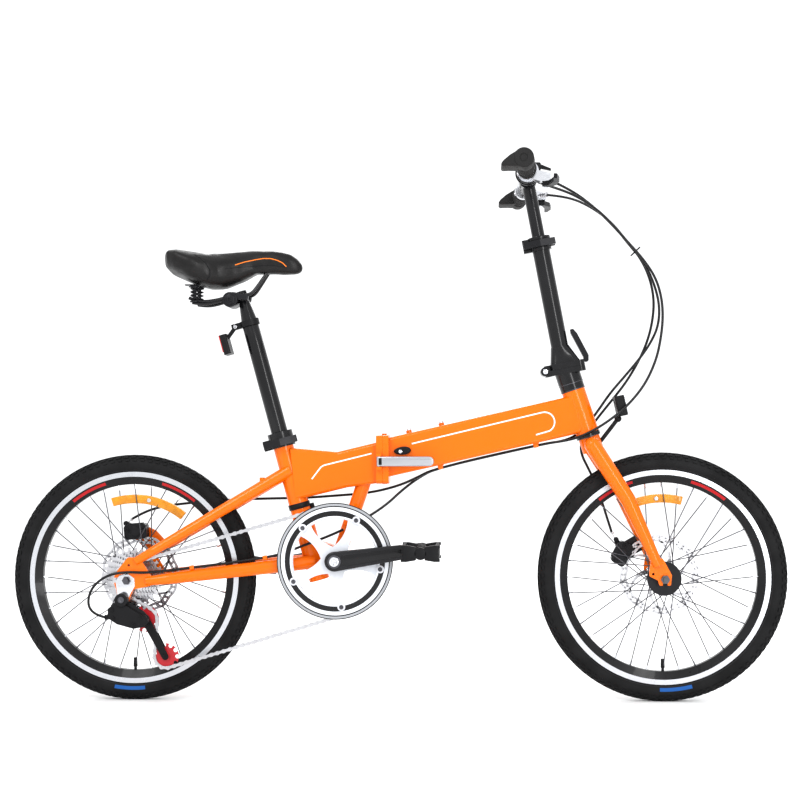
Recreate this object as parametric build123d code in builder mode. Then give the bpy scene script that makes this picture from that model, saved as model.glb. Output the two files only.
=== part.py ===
from build123d import *

import os
from math import acos, atan2, cos, degrees, hypot, pi, radians, sin

# A folding bicycle with 20 inch wheels.  +X points forwards, +Y to the rider's left and +Z up.
# The origin lies on the ground, midway between the two wheel axles.  Sizes are in millimetres.

# ---- Overall sizes ----
wheelbase = 1040.0
tyre_radius = 242.0
tyre_width = 39.0
seat_angle = 15.0            # seat tube, back from upright
head_angle = 18.0            # head tube and steerer, back from upright
post_angle = 10.5            # handlepost, back from upright
handlebar_height = 1020.0
handlebar_half_width = 280.0
saddle_top = 892.0

# ---- Fits ----
running_gap = 0.05           # radial gap of a shaft that turns or slides in its bore
face_gap = 0.3               # gap between faces that move past each other

# ---- Wheels ----
rim_radius = 209.0
rim_inner_radius = 184.0
rim_width = 26.0
brake_band = 10.0
rim_wall = 1.8
tyre_wall = 3.5
spoke_count = 36
spoke_radius = 1.0
flange_thickness = 3.0
front_hub_width = 100.0      # between the fork ends
rear_hub_width = 130.0       # between the rear dropouts
front_flange_radius = 22.0
rear_flange_radius = 26.0
front_flange_y = 30.0
rear_flange_y = (20.0, 27.0)     # right and left flange, from the mid-plane
hub_barrel_radius = 14.0
front_axle_radius = 4.5
rear_axle_radius = 5.0
rotor_radius = 80.0
rotor_track = 14.0
rotor_thickness = 1.8
front_rotor_y = 39.5
rear_rotor_y = 43.0

# ---- Drive ----
chain_pitch = 12.7
chain_y = -54.0
chainring_teeth = 52
cog_teeth = (14, 16, 18, 20, 22, 24, 28)
cog_spacing = 4.8
pulley_teeth = 11
sprocket_thickness = 1.8
roller_radius = 3.9
tooth_height = 3.0
chain_plate_half_height = 4.2
chain_inner_width = 3.4
chain_plate_thickness = 1.7
crank_length = 172.0
crank_rise = 7.9             # degrees above level of the right crank
crank_inner_y = 64.0
crank_thickness = 12.0
spindle_radius = 8.5
guard_radius = 113.0
guard_inner_radius = 92.0
bolt_circle_radius = 91.0

# ---- Frame tubes ----
seat_tube_radius = 20.0
seat_tube_length = 292.0
seatpost_radius = 16.5
seatpost_travel = 200.0
beam_half_width = 21.0
beam_height = 75.0
beam_wall = 3.0
beam_corner = 7.0
beam_slope = 12.6
brace_radius = 14.0
shell_radius = 20.0
shell_width = 68.0
cup_radius = 17.0
head_tube_radius = 23.0
head_tube_length = 88.0
head_tube_bore = 18.0
steerer_radius = 14.3
headset_height = 15.0
crown_drop = 25.0            # crown centre below the head tube, along the steerer

# ---- Frame points, as (x, z) on the mid-plane ----
seat_foot = (-152.0, 236.0)
shell_centre = (-115.6, 277.7)
head_foot = (377.3, 523.0)

# ---- Main fold ----
fold_x = -24.0
fold_pin_y = 34.0
fold_pin_radius = 5.0
knuckle_radius = 9.0
fold_plate = 12.3
fold_bottom = 426.0
fold_top = 521.0
fold_plate_right = -34.0
fold_plate_left = 25.0
fold_knuckle = 24.0          # height of each of the rear half's two knuckles
latch_length = 107.5
latch_pivot_x = -30.5
latch_pivot_z = 470.0
latch_pin_radius = 2.5
ear_height = 6.0
latch_height = 20.0
latch_half_thickness = 5.0
latch_y = fold_plate_right - latch_half_thickness - face_gap

# ---- Stem fold and handlepost ----
stem_joint = (332.3, 650.0)
stem_pin_back = 38.0
stem_plate = 11.0
outer_post_radius = 17.0
outer_post_length = 262.0
inner_post_radius = 12.7
bar_radius = 12.7
bar_sweep = 15.0             # how far the grips' ends lie behind the bar's middle
grip_length = 128.0
grip_radius = 18.5
perch_y = 128.0

origin_front = Vector(wheelbase / 2, 0, tyre_radius)
origin_rear = Vector(-wheelbase / 2, 0, tyre_radius)


# ---- Directions and planes ----
def tilted(angle):
    """The unit vector that leans back from upright by an angle."""
    return Vector(-sin(radians(angle)), 0, cos(radians(angle)))


def tilted_plane(foot, angle, distance):
    """A plane across a leaning axis, with its local x forwards and its local y to the left."""
    up = tilted(angle)
    return Plane(origin=foot + up * distance, x_dir=Vector(up.Z, 0, -up.X), z_dir=up)


def side_plane(y=0.0):
    """A plane that faces the rider's right, with its local axes along +X and +Z."""
    return Plane(origin=(0, y, 0), x_dir=(1, 0, 0), z_dir=(0, -1, 0))


def middle(pair, y=0.0):
    return Vector(pair[0], y, pair[1])


seat_base = middle(seat_foot)
seat_up = tilted(seat_angle)
head_base = middle(head_foot)
head_up = tilted(head_angle)
stem_base_point = middle(stem_joint)
post_up = tilted(post_angle)
shell_point = middle(shell_centre)


# ---- Shapes that many pieces use ----
def rod(start, end, radius, end_radius=None, bore=0.0):
    """A round bar or tube between two points, tapering if an end radius is given."""
    axis = Vector(*end) - Vector(*start)
    start_plane = Plane(origin=start, z_dir=axis)
    with BuildPart() as piece:
        with BuildSketch(start_plane):
            Circle(radius)
        if end_radius is None:
            extrude(amount=axis.length)
        else:
            with BuildSketch(Plane(origin=end, z_dir=axis)):
                Circle(end_radius)
            loft()
        if bore:
            with BuildSketch(start_plane):
                Circle(bore)
            extrude(amount=axis.length, mode=Mode.SUBTRACT)
    return piece.part


def cross_rod(x, z, y_right, y_left, radius, bore=0.0):
    """A round bar or tube that runs from side to side."""
    return rod((x, y_right, z), (x, y_left, z), radius, bore=bore)


def bent_rod(points, radii):
    """Tapered bars end to end, with a ball at each bend."""
    with BuildPart() as piece:
        for index in range(len(points) - 1):
            add(rod(points[index], points[index + 1], radii[index], radii[index + 1]))
        for point, radius in zip(points[1:-1], radii[1:-1]):
            with Locations(point):
                Sphere(radius)
    return piece.part


def plate(points, y_right, y_left, corner=0.0):
    """A flat plate whose outline is given in x and z, from one y to another."""
    with BuildPart() as piece:
        with BuildSketch(side_plane(y_left)) as outline:
            with BuildLine():
                Polyline(*points, close=True)
            make_face()
            if corner:
                fillet(outline.vertices(), corner)
        extrude(amount=y_left - y_right)
    return piece.part


def tube_path(points):
    """The path of a cable: straight runs joined by the largest tangent arcs that they allow."""
    vectors = [Vector(*point) for point in points]
    bends = []
    for before, here, after in zip(vectors, vectors[1:], vectors[2:]):
        shorter = min((here - before).length, (after - here).length)
        half_turn = radians((here - before).get_angle(after - here)) / 2
        bends.append(0.45 * shorter * cos(half_turn) / sin(half_turn))
    print("cable bend radii", [round(bend) for bend in bends])
    with BuildLine() as path:
        FilletPolyline(*points, radius=bends)
    return path.wire()


def cable(points, radius):
    path = tube_path(points)
    with BuildPart() as piece:
        with BuildSketch(Plane(origin=path @ 0, z_dir=path % 0)):
            Circle(radius)
        sweep(path=path)
    expected = path.length * pi * radius**2
    print("cable length", round(path.length), "volume share", round(piece.part.volume / expected, 4))
    return piece.part


def hexagon_nut(x, z, y_right, y_left, across):
    with BuildPart() as piece:
        with BuildSketch(Plane(origin=(x, y_left, z), x_dir=(1, 0, 0), z_dir=(0, -1, 0))):
            RegularPolygon(across / 2, 6, major_radius=False)
        extrude(amount=y_left - y_right)
    return piece.part


os.makedirs("parts", exist_ok=True)


def keep(builder, name):
    """Labels a finished piece and writes its file."""
    builder.part.label = name
    export_step(builder.part, f"parts/{name}.step")


# =====================  Rear half of the frame  =====================
tube_bore = seatpost_radius + running_gap
seat_mouth = seat_base + seat_up * seat_tube_length
slit_width = 2.0
slit_depth = 30.0

with BuildPart() as seat_tube:
    add(rod(seat_base, seat_mouth, seat_tube_radius, bore=tube_bore))
    with BuildSketch(tilted_plane(seat_base, seat_angle, seat_tube_length)):
        with Locations((-seat_tube_radius, 0)):
            Rectangle(2 * (seat_tube_radius - tube_bore) + 4, slit_width)
    extrude(amount=-slit_depth, mode=Mode.SUBTRACT)
keep(seat_tube, "seat_tube")

hinge_back = fold_x - fold_plate
seat_x_at_beam = seat_foot[0] - 20.0
rear_top = [(-207.0, 497.0), (-114.0, 488.5), (hinge_back, 507.0)]
rear_bottom = [(hinge_back, 424.5 + 2.0), (-95.0, 418.5), (-196.0, 394.0)]


def rear_beam_block(inset=0.0, stretch=0.0):
    """The rear beam's outer block, or its hollow when an inset is given."""
    top = [(x, z - inset) for x, z in rear_top]
    bottom = [(x, z + inset) for x, z in rear_bottom]
    top[-1] = (top[-1][0] + stretch, top[-1][1])
    bottom[0] = (bottom[0][0] + stretch, bottom[0][1])
    return plate(top + bottom, inset - beam_half_width, beam_half_width - inset)


def long_edges(piece, shortest):
    """The edges of a beam that run along it, out at its two sides."""
    return piece.edges().filter_by(
        lambda edge: edge.length > shortest and abs((edge % 0.5).X) > 0.8 and abs((edge @ 0.5).Y) > beam_half_width - 1
    )


with BuildPart() as rear_beam:
    add(rear_beam_block())
    fillet(long_edges(rear_beam, 30), beam_corner)
    add(rear_beam_block(beam_wall, 6.0), mode=Mode.SUBTRACT)
    add(rod(seat_base, seat_mouth, seat_tube_radius), mode=Mode.SUBTRACT)
keep(rear_beam, "rear_beam")

lug_half_width = 15.0
shell_half = shell_width / 2
brace_top = (-62.0, 430.0)

with BuildPart() as bb_shell:
    add(cross_rod(shell_centre[0], shell_centre[1], -shell_half, shell_half, shell_radius))
    add(plate(
        [(-158, 255), (-112, 260), (-100, 292), (-128, 306), (-170, 318)], -lug_half_width, lug_half_width, 4))
    add(rod(shell_point, middle(brace_top), brace_radius))
    add(rear_beam_block(), mode=Mode.SUBTRACT)
    add(rod(seat_base, seat_mouth, seat_tube_radius), mode=Mode.SUBTRACT)
    add(cross_rod(shell_centre[0], shell_centre[1], -shell_half, shell_half, cup_radius), mode=Mode.SUBTRACT)
keep(bb_shell, "bb_shell")

cup_flange = 3.0
spindle_bore = spindle_radius + running_gap
with BuildPart() as bottom_bracket_cups:
    for side in (-1, 1):
        inner = side * (shell_half - 18)
        face = side * shell_half
        outer = side * (shell_half + cup_flange)
        add(rod((shell_centre[0], inner, shell_centre[1]), (shell_centre[0], face, shell_centre[1]),
                cup_radius, bore=spindle_bore))
        add(rod((shell_centre[0], face, shell_centre[1]), (shell_centre[0], outer, shell_centre[1]),
                cup_radius + 3, bore=spindle_bore))
keep(bottom_bracket_cups, "bottom_bracket_cups")

# ---- Stays and dropouts ----
dropout_inner = rear_hub_width / 2
dropout_thickness = 6.0
axle_x = origin_rear.X
axle_z = origin_rear.Z


def mirrored(points, side):
    return [(x, side * y, z) for x, y, z in points]


chain_stay_points = [
    (-160.0, 15.0, 273.0),
    (-222.0, 30.0, 266.7),
    (-310.0, 40.0, 257.7),
    (-440.0, 62.0, 244.3),
    (-484.0, 68.0, 240.0),
]
chain_stay_radii = [13.5, 13.5, 13.0, 11.0, 9.0]
seat_stay_points = [(-208.0, 12.0, 452.8), (-330.0, 38.0, 380.8), (-470.0, 66.0, 298.2), (-504.0, 69.0, 278.2)]
seat_stay_radii = [12.5, 11.0, 9.0, 8.0]
hanger_hole = (-528.5, 206.5)


def dropout(side, with_hanger):
    """A dropout plate with its axle slot open to the rear, two eyelets and the gear hanger."""
    low = [(-508.0, 224.0), (-519.0, 197.0), (-538.0, 197.0), (-541.0, 222.0)]
    outline = [(-474.0, 251.0), (-474.0, 231.0)]
    outline += low if with_hanger else [(-508.0, 224.0), (-534.0, 222.0)]
    outline += [(-546.0, 236.0), (-546.0, 248.0), (-537.0, 264.0), (-519.0, 286.0), (-496.0, 286.0)]
    y_in = side * dropout_inner
    y_out = side * (dropout_inner + dropout_thickness)
    with BuildPart() as piece:
        add(plate(outline, min(y_in, y_out), max(y_in, y_out), 3.0))
        with BuildSketch(side_plane(max(y_in, y_out) + 1)):
            with Locations((axle_x, axle_z)):
                Circle(rear_axle_radius + 0.1)
            with Locations((axle_x - 20, axle_z)):
                Rectangle(40, 2 * (rear_axle_radius + 0.1))
            with Locations((-517.0, 271.0), (-536.0, 256.5)):
                Circle(2.5)
            if with_hanger:
                with Locations(hanger_hole):
                    Circle(5.0)
        extrude(amount=dropout_thickness + 2, mode=Mode.SUBTRACT)
    return piece.part


bridge_x = -256.0
bridge_z = 263.0
with BuildPart() as chain_stays:
    for side in (-1, 1):
        add(bent_rod(mirrored(chain_stay_points, side), chain_stay_radii))
        add(dropout(side, side < 0))
    add(cross_rod(bridge_x, bridge_z, -34, 34, 7))
    add(rod(seat_base, seat_mouth, seat_tube_radius), mode=Mode.SUBTRACT)
    add(plate([(-158, 255), (-112, 260), (-100, 292), (-128, 306), (-170, 318)],
              -lug_half_width, lug_half_width, 4), mode=Mode.SUBTRACT)
keep(chain_stays, "chain_stays")

def caliper_body(centre, toward, y_far):
    """A two-part caliper that straddles the rotor, with its pads and its bracket to the frame."""
    angle = degrees(atan2(toward.Z - centre.Z, toward.X - centre.X))
    near = Plane(origin=(centre.X, centre.Y + 14, centre.Z), x_dir=(cos(radians(angle)), 0, sin(radians(angle))),
                 z_dir=(0, -1, 0))
    with BuildPart() as piece:
        with BuildSketch(near):
            RectangleRounded(30, 46, 7)
        extrude(amount=26)
        with BuildSketch(Plane(origin=(centre.X, centre.Y + 1.8, centre.Z), x_dir=near.x_dir, z_dir=(0, -1, 0))):
            with Locations((6, 0)):
                Rectangle(26, 60)
        extrude(amount=3.6, mode=Mode.SUBTRACT)
        for y in (centre.Y + 14, ):
            with BuildSketch(Plane(origin=(centre.X, y, centre.Z), x_dir=(1, 0, 0), z_dir=(0, 1, 0))):
                Circle(10)
            extrude(amount=y_far - y)
    return piece.part


caliper_rear_centre = Vector(-527.0, rear_rotor_y, 329.0)
caliper_front_centre = Vector(446.0, front_rotor_y, 284.0)
tab_inner = 56.0
tab_outer = 61.0

with BuildPart() as seat_stays:
    for side in (-1, 1):
        add(bent_rod(mirrored(seat_stay_points, side), seat_stay_radii))
    add(cross_rod(-290.0, 404.4, -26, 26, 6))
    add(plate([(-540, 318), (-500, 283), (-462, 300), (-490, 330), (-516, 342), (-540, 338)],
              tab_inner, tab_outer, 3))
    with Locations((-262.0, -23.0, 432.0)):
        Cylinder(5, 14)
    add(rod(seat_base, seat_mouth, seat_tube_radius), mode=Mode.SUBTRACT)
    add(dropout(-1, True), mode=Mode.SUBTRACT)
    add(dropout(1, False), mode=Mode.SUBTRACT)
    add(rear_beam_block(), mode=Mode.SUBTRACT)
    with Locations((-262.0, -23.0, 436.0)):
        Cylinder(2.5, 12, mode=Mode.SUBTRACT)
    add(caliper_body(caliper_rear_centre, origin_rear, tab_outer + 1), mode=Mode.SUBTRACT)
keep(seat_stays, "seat_stays")

# ---- Seat clamp ----
clamp_low = 272.0
clamp_high = 302.0
clamp_radius = 25.0
clamp_bolt_u = -31.0
cam_y = -19.0
cam_radius = 5.0
clamp_middle = (clamp_low + clamp_high) / 2


def seat_level(distance):
    return tilted_plane(seat_base, seat_angle, distance)


with BuildPart() as seat_clamp:
    with BuildSketch(seat_level(clamp_low)):
        Circle(clamp_radius)
        with Locations((clamp_bolt_u + 3, 0)):
            Rectangle(18, 16)
        Circle(seat_tube_radius, mode=Mode.SUBTRACT)
        with Locations((clamp_bolt_u + 4, 0)):
            Rectangle(24, slit_width, mode=Mode.SUBTRACT)
    extrude(amount=seat_tube_length - clamp_low)
    with BuildSketch(seat_level(seat_tube_length)):
        Circle(clamp_radius)
        Circle(seatpost_radius + 2 * face_gap, mode=Mode.SUBTRACT)
    extrude(amount=clamp_high - seat_tube_length)
    bolt_centre = seat_level(clamp_middle - 5).from_local_coords((clamp_bolt_u, 0, 0))
    add(rod(bolt_centre + Vector(0, cam_y + cam_radius + 0.4, 0), bolt_centre + Vector(0, 12, 0), 3.0))
    add(rod(bolt_centre + Vector(0, 8, 0), bolt_centre + Vector(0, 14, 0), 6.0))
keep(seat_clamp, "seat_clamp")


def quick_lever(plane, reach, height, cam_y_local, sweep_in):
    """A quick-release lever: a cam barrel, and a blade that curves along the tube's right side."""
    with BuildPart() as piece:
        with BuildSketch(plane):
            Circle(cam_radius)
            with BuildLine():
                Polyline((0, -cam_radius), (reach * 0.5, -cam_radius - 3 - sweep_in), (reach, -cam_radius - 1),
                         (reach + 2, -cam_radius + 3), (reach * 0.5, -sweep_in - 4), (0, cam_radius * 0.6),
                         close=True)
            make_face()
        extrude(amount=height / 2, both=True)
        fillet(piece.edges().group_by(Axis.X)[-1], 1.5)
    return piece.part


seat_cam = seat_level(clamp_middle - 5).from_local_coords((clamp_bolt_u, cam_y, 0))
seat_cam_plane = Plane(origin=seat_cam, x_dir=seat_level(0).x_dir, z_dir=seat_up)
with BuildPart() as seat_lever:
    add(quick_lever(seat_cam_plane, 62.0, 14.0, cam_y, 8.0))
keep(seat_lever, "seat_lever")

# ---- Rear half of the main hinge, with its pin ----
fold_low_knuckle = fold_bottom + fold_knuckle
fold_high_knuckle = fold_top - fold_knuckle
hinge_clear = knuckle_radius + 0.6


def fold_knuckle_rod(low, high, radius, bore=0.0):
    return rod((fold_x, fold_pin_y, low), (fold_x, fold_pin_y, high), radius, bore=bore)


def fold_plate_block(x_back, x_front):
    with BuildPart() as piece:
        with BuildSketch(Plane.YZ.offset(x_back)) as face:
            with Locations(((fold_plate_left + fold_plate_right) / 2, (fold_top + fold_bottom) / 2)):
                RectangleRounded(fold_plate_left - fold_plate_right, fold_top - fold_bottom, 9)
        extrude(amount=x_front - x_back)
    return piece.part


with BuildPart() as rear_hinge:
    add(fold_plate_block(hinge_back, fold_x - face_gap / 2))
    add(plate([(hinge_back, fold_bottom + 10), (fold_x - face_gap / 2, fold_bottom + 10),
               (fold_x - face_gap / 2, fold_top - 10), (hinge_back, fold_top - 10)],
              fold_plate_left - 2, fold_pin_y))
    add(fold_knuckle_rod(fold_low_knuckle, fold_high_knuckle, hinge_clear), mode=Mode.SUBTRACT)
    add(fold_knuckle_rod(fold_bottom, fold_low_knuckle, knuckle_radius))
    add(fold_knuckle_rod(fold_high_knuckle, fold_top, knuckle_radius))
    add(fold_knuckle_rod(fold_bottom - 3, fold_top + 3, fold_pin_radius))
    # Two ears hold the latch lever's pin, one above the lever and one below it.
    for low in (latch_pivot_z - latch_height / 2 - ear_height, latch_pivot_z + latch_height / 2):
        add(plate([(latch_pivot_x - 5, low), (latch_pivot_x + 5, low), (latch_pivot_x + 5, low + ear_height - 0.3),
                   (latch_pivot_x - 5, low + ear_height - 0.3)], latch_y - 4.5, fold_plate_right))
    add(rod((latch_pivot_x, latch_y, latch_pivot_z - 20), (latch_pivot_x, latch_y, latch_pivot_z + 20),
            latch_pin_radius + running_gap), mode=Mode.SUBTRACT)
keep(rear_hinge, "rear_hinge")

# ---- Rear axle ----
nut_face = dropout_inner + dropout_thickness
with BuildPart() as rear_axle:
    add(cross_rod(axle_x, axle_z, -nut_face - 15, nut_face + 15, rear_axle_radius))
    for side in (-1, 1):
        spans = sorted((side * nut_face, side * (nut_face + 8.5)))
        add(hexagon_nut(axle_x, axle_z, spans[0], spans[1], 15.0))
    add(cross_rod(axle_x, axle_z, -dropout_inner, chain_y - 4.5, 9.0))
    add(cross_rod(axle_x, axle_z, rear_rotor_y + 6.0, dropout_inner, 9.0))
keep(rear_axle, "rear_axle")


# ---- Disc brake calipers ----
with BuildPart() as rear_caliper:
    add(caliper_body(caliper_rear_centre, origin_rear, tab_outer))
keep(rear_caliper, "rear_caliper")


def caliper_arm(centre, y_low, length, angle):
    """The swinging arm that pulls the pad in, with its cable pinch bolt."""
    tip = (centre.X + length * cos(radians(angle)), centre.Z + length * sin(radians(angle)))
    with BuildPart() as piece:
        with BuildSketch(side_plane(y_low + 4)):
            with Locations((centre.X, centre.Z)):
                Circle(9)
            with Locations(tip):
                Circle(5)
            with BuildLine():
                side = Vector(-sin(radians(angle)), cos(radians(angle)), 0)
                start = Vector(centre.X, centre.Z, 0)
                end = Vector(tip[0], tip[1], 0)
                Polyline(start + side * 8, end + side * 4.5, end - side * 4.5, start - side * 8, close=True)
            make_face()
        extrude(amount=4)
        add(cross_rod(tip[0], tip[1], y_low + 4, y_low + 8, 3.5))
        add(cross_rod(centre.X, centre.Z, y_low + 4, y_low + 7, 5))
    return piece.part


arm_gap = 0.4
with BuildPart() as rear_caliper_arm:
    add(caliper_arm(caliper_rear_centre, tab_outer + arm_gap, 30.0, 150.0))
keep(rear_caliper_arm, "rear_caliper_arm")

# =====================  Chain drive  =====================
def pitch_radius(teeth):
    return chain_pitch / 2 / sin(pi / teeth)


guide_centre = (-487.0, 165.0)
tension_centre = (-448.0, 92.0)
# Each wheel of the chain's loop: its centre, its radius and the sense in which the chain goes round it.
loop_wheels = [
    ((axle_x, axle_z), pitch_radius(cog_teeth[0]), -1),
    (shell_centre, pitch_radius(chainring_teeth), -1),
    (tension_centre, pitch_radius(pulley_teeth), -1),
    (guide_centre, pitch_radius(pulley_teeth), 1),
]


def tangent_points(first, second):
    """Where the straight run between two wheels leaves the one and meets the other."""
    (x1, z1), r1, s1 = first
    (x2, z2), r2, s2 = second
    normal = atan2(z2 - z1, x2 - x1) + acos((s2 * r2 - s1 * r1) / hypot(x2 - x1, z2 - z1))
    leave = (x1 - s1 * r1 * cos(normal), z1 - s1 * r1 * sin(normal))
    meet = (x2 - s2 * r2 * cos(normal), z2 - s2 * r2 * sin(normal))
    return leave, meet


def grown(shift):
    """The loop's wheels with the chain's centre line moved outwards by a distance."""
    return [(centre, radius - sense * shift, sense) for centre, radius, sense in loop_wheels]


def chain_face(shift):
    wheels = grown(shift)
    runs = [tangent_points(wheels[i], wheels[(i + 1) % 4]) for i in range(4)]
    with BuildSketch() as area:
        with BuildLine():
            for i in range(4):
                centre, radius, sense = wheels[i]
                arrive = runs[i - 1][1]
                leave = runs[i][0]
                a_in = degrees(atan2(arrive[1] - centre[1], arrive[0] - centre[0]))
                a_out = degrees(atan2(leave[1] - centre[1], leave[0] - centre[0]))
                turn = (sense * (a_out - a_in)) % 360
                CenterArc(centre, radius, a_in, sense * turn)
                Line(leave, runs[i][1])
        make_face()
    return area.sketch


chain_half_inner = chain_inner_width / 2
with BuildPart() as chain:
    for y_left in (chain_y + chain_half_inner + chain_plate_thickness, chain_y - chain_half_inner):
        with BuildSketch(side_plane(y_left)):
            add(chain_face(chain_plate_half_height))
            add(chain_face(-chain_plate_half_height), mode=Mode.SUBTRACT)
        extrude(amount=chain_plate_thickness)
    for i in range(4):
        leave, meet = tangent_points(loop_wheels[i], loop_wheels[(i + 1) % 4])
        run = hypot(meet[0] - leave[0], meet[1] - leave[1])
        clear = []
        for wheel in (loop_wheels[i], loop_wheels[(i + 1) % 4]):
            reach = wheel[1] + tooth_height + roller_radius + 0.6
            clear.append((reach**2 - wheel[1] ** 2) ** 0.5)
        free = run - clear[0] - clear[1]
        count = int(free // chain_pitch) + 1
        first = clear[0] + (free - (count - 1) * chain_pitch) / 2
        for k in range(count):
            share = (first + k * chain_pitch) / run
            x = leave[0] + share * (meet[0] - leave[0])
            z = leave[1] + share * (meet[1] - leave[1])
            add(cross_rod(x, z, chain_y - chain_half_inner, chain_y + chain_half_inner, roller_radius))
keep(chain, "chain")


def sprocket(centre, teeth, y_middle, bore, thickness=sprocket_thickness):
    radius = pitch_radius(teeth)
    with BuildPart() as piece:
        plane = Plane(origin=(centre[0], y_middle + thickness / 2, centre[1]), x_dir=(1, 0, 0), z_dir=(0, -1, 0))
        with BuildSketch(plane):
            Circle(radius + tooth_height)
            with PolarLocations(radius, teeth):
                Circle(roller_radius + 0.1, mode=Mode.SUBTRACT)
            Circle(bore, mode=Mode.SUBTRACT)
        extrude(amount=thickness)
    return piece.part


freewheel_bore = 17.0 + running_gap
with BuildPart() as freewheel:
    inner_face = chain_y + cog_spacing * (len(cog_teeth) - 1) + 2
    add(cross_rod(axle_x, axle_z, chain_y - 3.0, inner_face, 22.0, bore=freewheel_bore))
    for index, teeth in enumerate(cog_teeth):
        add(sprocket((axle_x, axle_z), teeth, chain_y + index * cog_spacing, freewheel_bore))
keep(freewheel, "freewheel")

pulley_bore = 4.0 + running_gap
cage_half_width = 5.0
cage_plate = 1.6


def pulley(centre):
    with BuildPart() as piece:
        add(sprocket(centre, pulley_teeth, chain_y, pulley_bore, 2.2))
        add(cross_rod(centre[0], centre[1], chain_y - cage_half_width + face_gap,
                      chain_y + cage_half_width - face_gap, 8.0, bore=pulley_bore))
    return piece.part


with BuildPart() as guide_pulley:
    add(pulley(guide_centre))
keep(guide_pulley, "guide_pulley")

with BuildPart() as tension_pulley:
    add(pulley(tension_centre))
keep(tension_pulley, "tension_pulley")

# ---- Rear derailleur ----
upper_knuckle = (-529.0, 204.0)
lower_knuckle = (-484.0, 163.0)
with BuildPart() as derailleur:
    for y_right in (chain_y - cage_half_width - cage_plate, chain_y + cage_half_width):
        with BuildSketch(side_plane(y_right + cage_plate)):
            make_hull([Edge.make_circle(radius, Plane(origin=(*centre, 0)))
                       for centre, radius in ((guide_centre, 12.0), (tension_centre, 10.0))])
        extrude(amount=cage_plate)
    for centre in (guide_centre, tension_centre):
        add(cross_rod(centre[0], centre[1], chain_y - cage_half_width, chain_y + cage_half_width, 4.0))
        add(cross_rod(centre[0], centre[1], chain_y - 10, chain_y - cage_half_width - cage_plate, 5.0))
    # The knuckles and the links between them stand outside the cage, under the hanger.
    add(cross_rod(lower_knuckle[0], lower_knuckle[1], -82, chain_y - cage_half_width - cage_plate, 12.0))
    add(plate([(-560, 190), (-540, 202), (-486, 176), (-478, 158), (-500, 148), (-546, 160)], -84, -72, 5))
    add(cross_rod(upper_knuckle[0], hanger_hole[1], -88, -nut_face, 13.0))
    add(cross_rod(hanger_hole[0], hanger_hole[1], -nut_face, -dropout_inner - 1, 4.9))
keep(derailleur, "derailleur")

# ---- Crankset ----
crank_axis = Vector(cos(radians(crank_rise)), 0, sin(radians(crank_rise)))
right_pedal_point = shell_point + crank_axis * crank_length
left_pedal_point = shell_point - crank_axis * crank_length
crank_outer_y = crank_inner_y + crank_thickness
spider_right = chain_y - 7.0
spider_left = chain_y - sprocket_thickness / 2
pedal_pin_radius = 6.0
pedal_length = 90.0
pedal_inner_y = crank_outer_y + 8.0


arm_count = 5
spider_ring_radius = 89.5
spider_ring_width = 6.0
spider_hub_radius = 25.0


def on_arm(arm, reach, aside=0.0):
    """A point on one of the spider's arms, at a reach from the spindle and a distance aside."""
    angle = radians(-10 + 360 / arm_count * arm)
    return (shell_centre[0] + reach * cos(angle) - aside * sin(angle),
            shell_centre[1] + reach * sin(angle) + aside * cos(angle))


def crank_arm(side, end):
    """A crank arm: a boss at the spindle that narrows to the pedal's eye."""
    y_in = side * crank_inner_y
    y_out = side * crank_outer_y
    with BuildPart() as piece:
        with BuildSketch(side_plane(max(y_in, y_out))):
            make_hull([
                Edge.make_circle(19, Plane(origin=(shell_centre[0], shell_centre[1], 0))),
                Edge.make_circle(13, Plane(origin=(end.X, end.Z, 0))),
            ])
        extrude(amount=crank_thickness)
        fillet(piece.edges().filter_by(GeomType.LINE), 3.0)
    return piece.part


with BuildPart() as crankset:
    for side, end in ((-1, right_pedal_point), (1, left_pedal_point)):
        add(crank_arm(side, end))
        boss = sorted((side * (shell_half + cup_flange + face_gap), side * (crank_inner_y + 2)))
        add(cross_rod(shell_centre[0], shell_centre[1], boss[0], boss[1], 17.0))
        pin = sorted((side * crank_outer_y, side * (pedal_inner_y + pedal_length - 6)))
        add(cross_rod(end.X, end.Z, pin[0], pin[1], pedal_pin_radius))
    add(cross_rod(shell_centre[0], shell_centre[1], -crank_inner_y, crank_inner_y, spindle_radius))
    with BuildSketch(side_plane(spider_left)):
        with Locations(shell_centre):
            Circle(spider_ring_radius)
            Circle(spider_ring_radius - spider_ring_width, mode=Mode.SUBTRACT)
            Circle(spider_hub_radius)
        for arm in range(arm_count):
            with BuildLine():
                ThreePointArc(on_arm(arm, 18, 19), on_arm(arm, 50, 9), on_arm(arm, 87, 17))
                Line(on_arm(arm, 87, 17), on_arm(arm, 87, -17))
                ThreePointArc(on_arm(arm, 87, -17), on_arm(arm, 50, -9), on_arm(arm, 18, -19))
                Line(on_arm(arm, 18, -19), on_arm(arm, 18, 19))
            make_face()
            with Locations(on_arm(arm, bolt_circle_radius)):
                Circle(7)
    extrude(amount=spider_left - (spider_right + 2.0))
keep(crankset, "crankset")

with BuildPart() as chainring:
    add(sprocket(shell_centre, chainring_teeth, chain_y, bolt_circle_radius - 9, sprocket_thickness))
    add(cross_rod(shell_centre[0], shell_centre[1], spider_right, spider_right + 2.0, guard_radius,
                  bore=guard_inner_radius - 8))
    for arm in range(arm_count):
        x, z = on_arm(arm, bolt_circle_radius)
        add(cross_rod(x, z, spider_right - 1.5, spider_right, 5.0))
keep(chainring, "chainring")

# ---- Pedals ----
pedal_fore_aft = 74.0
pedal_height = 32.0


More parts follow.
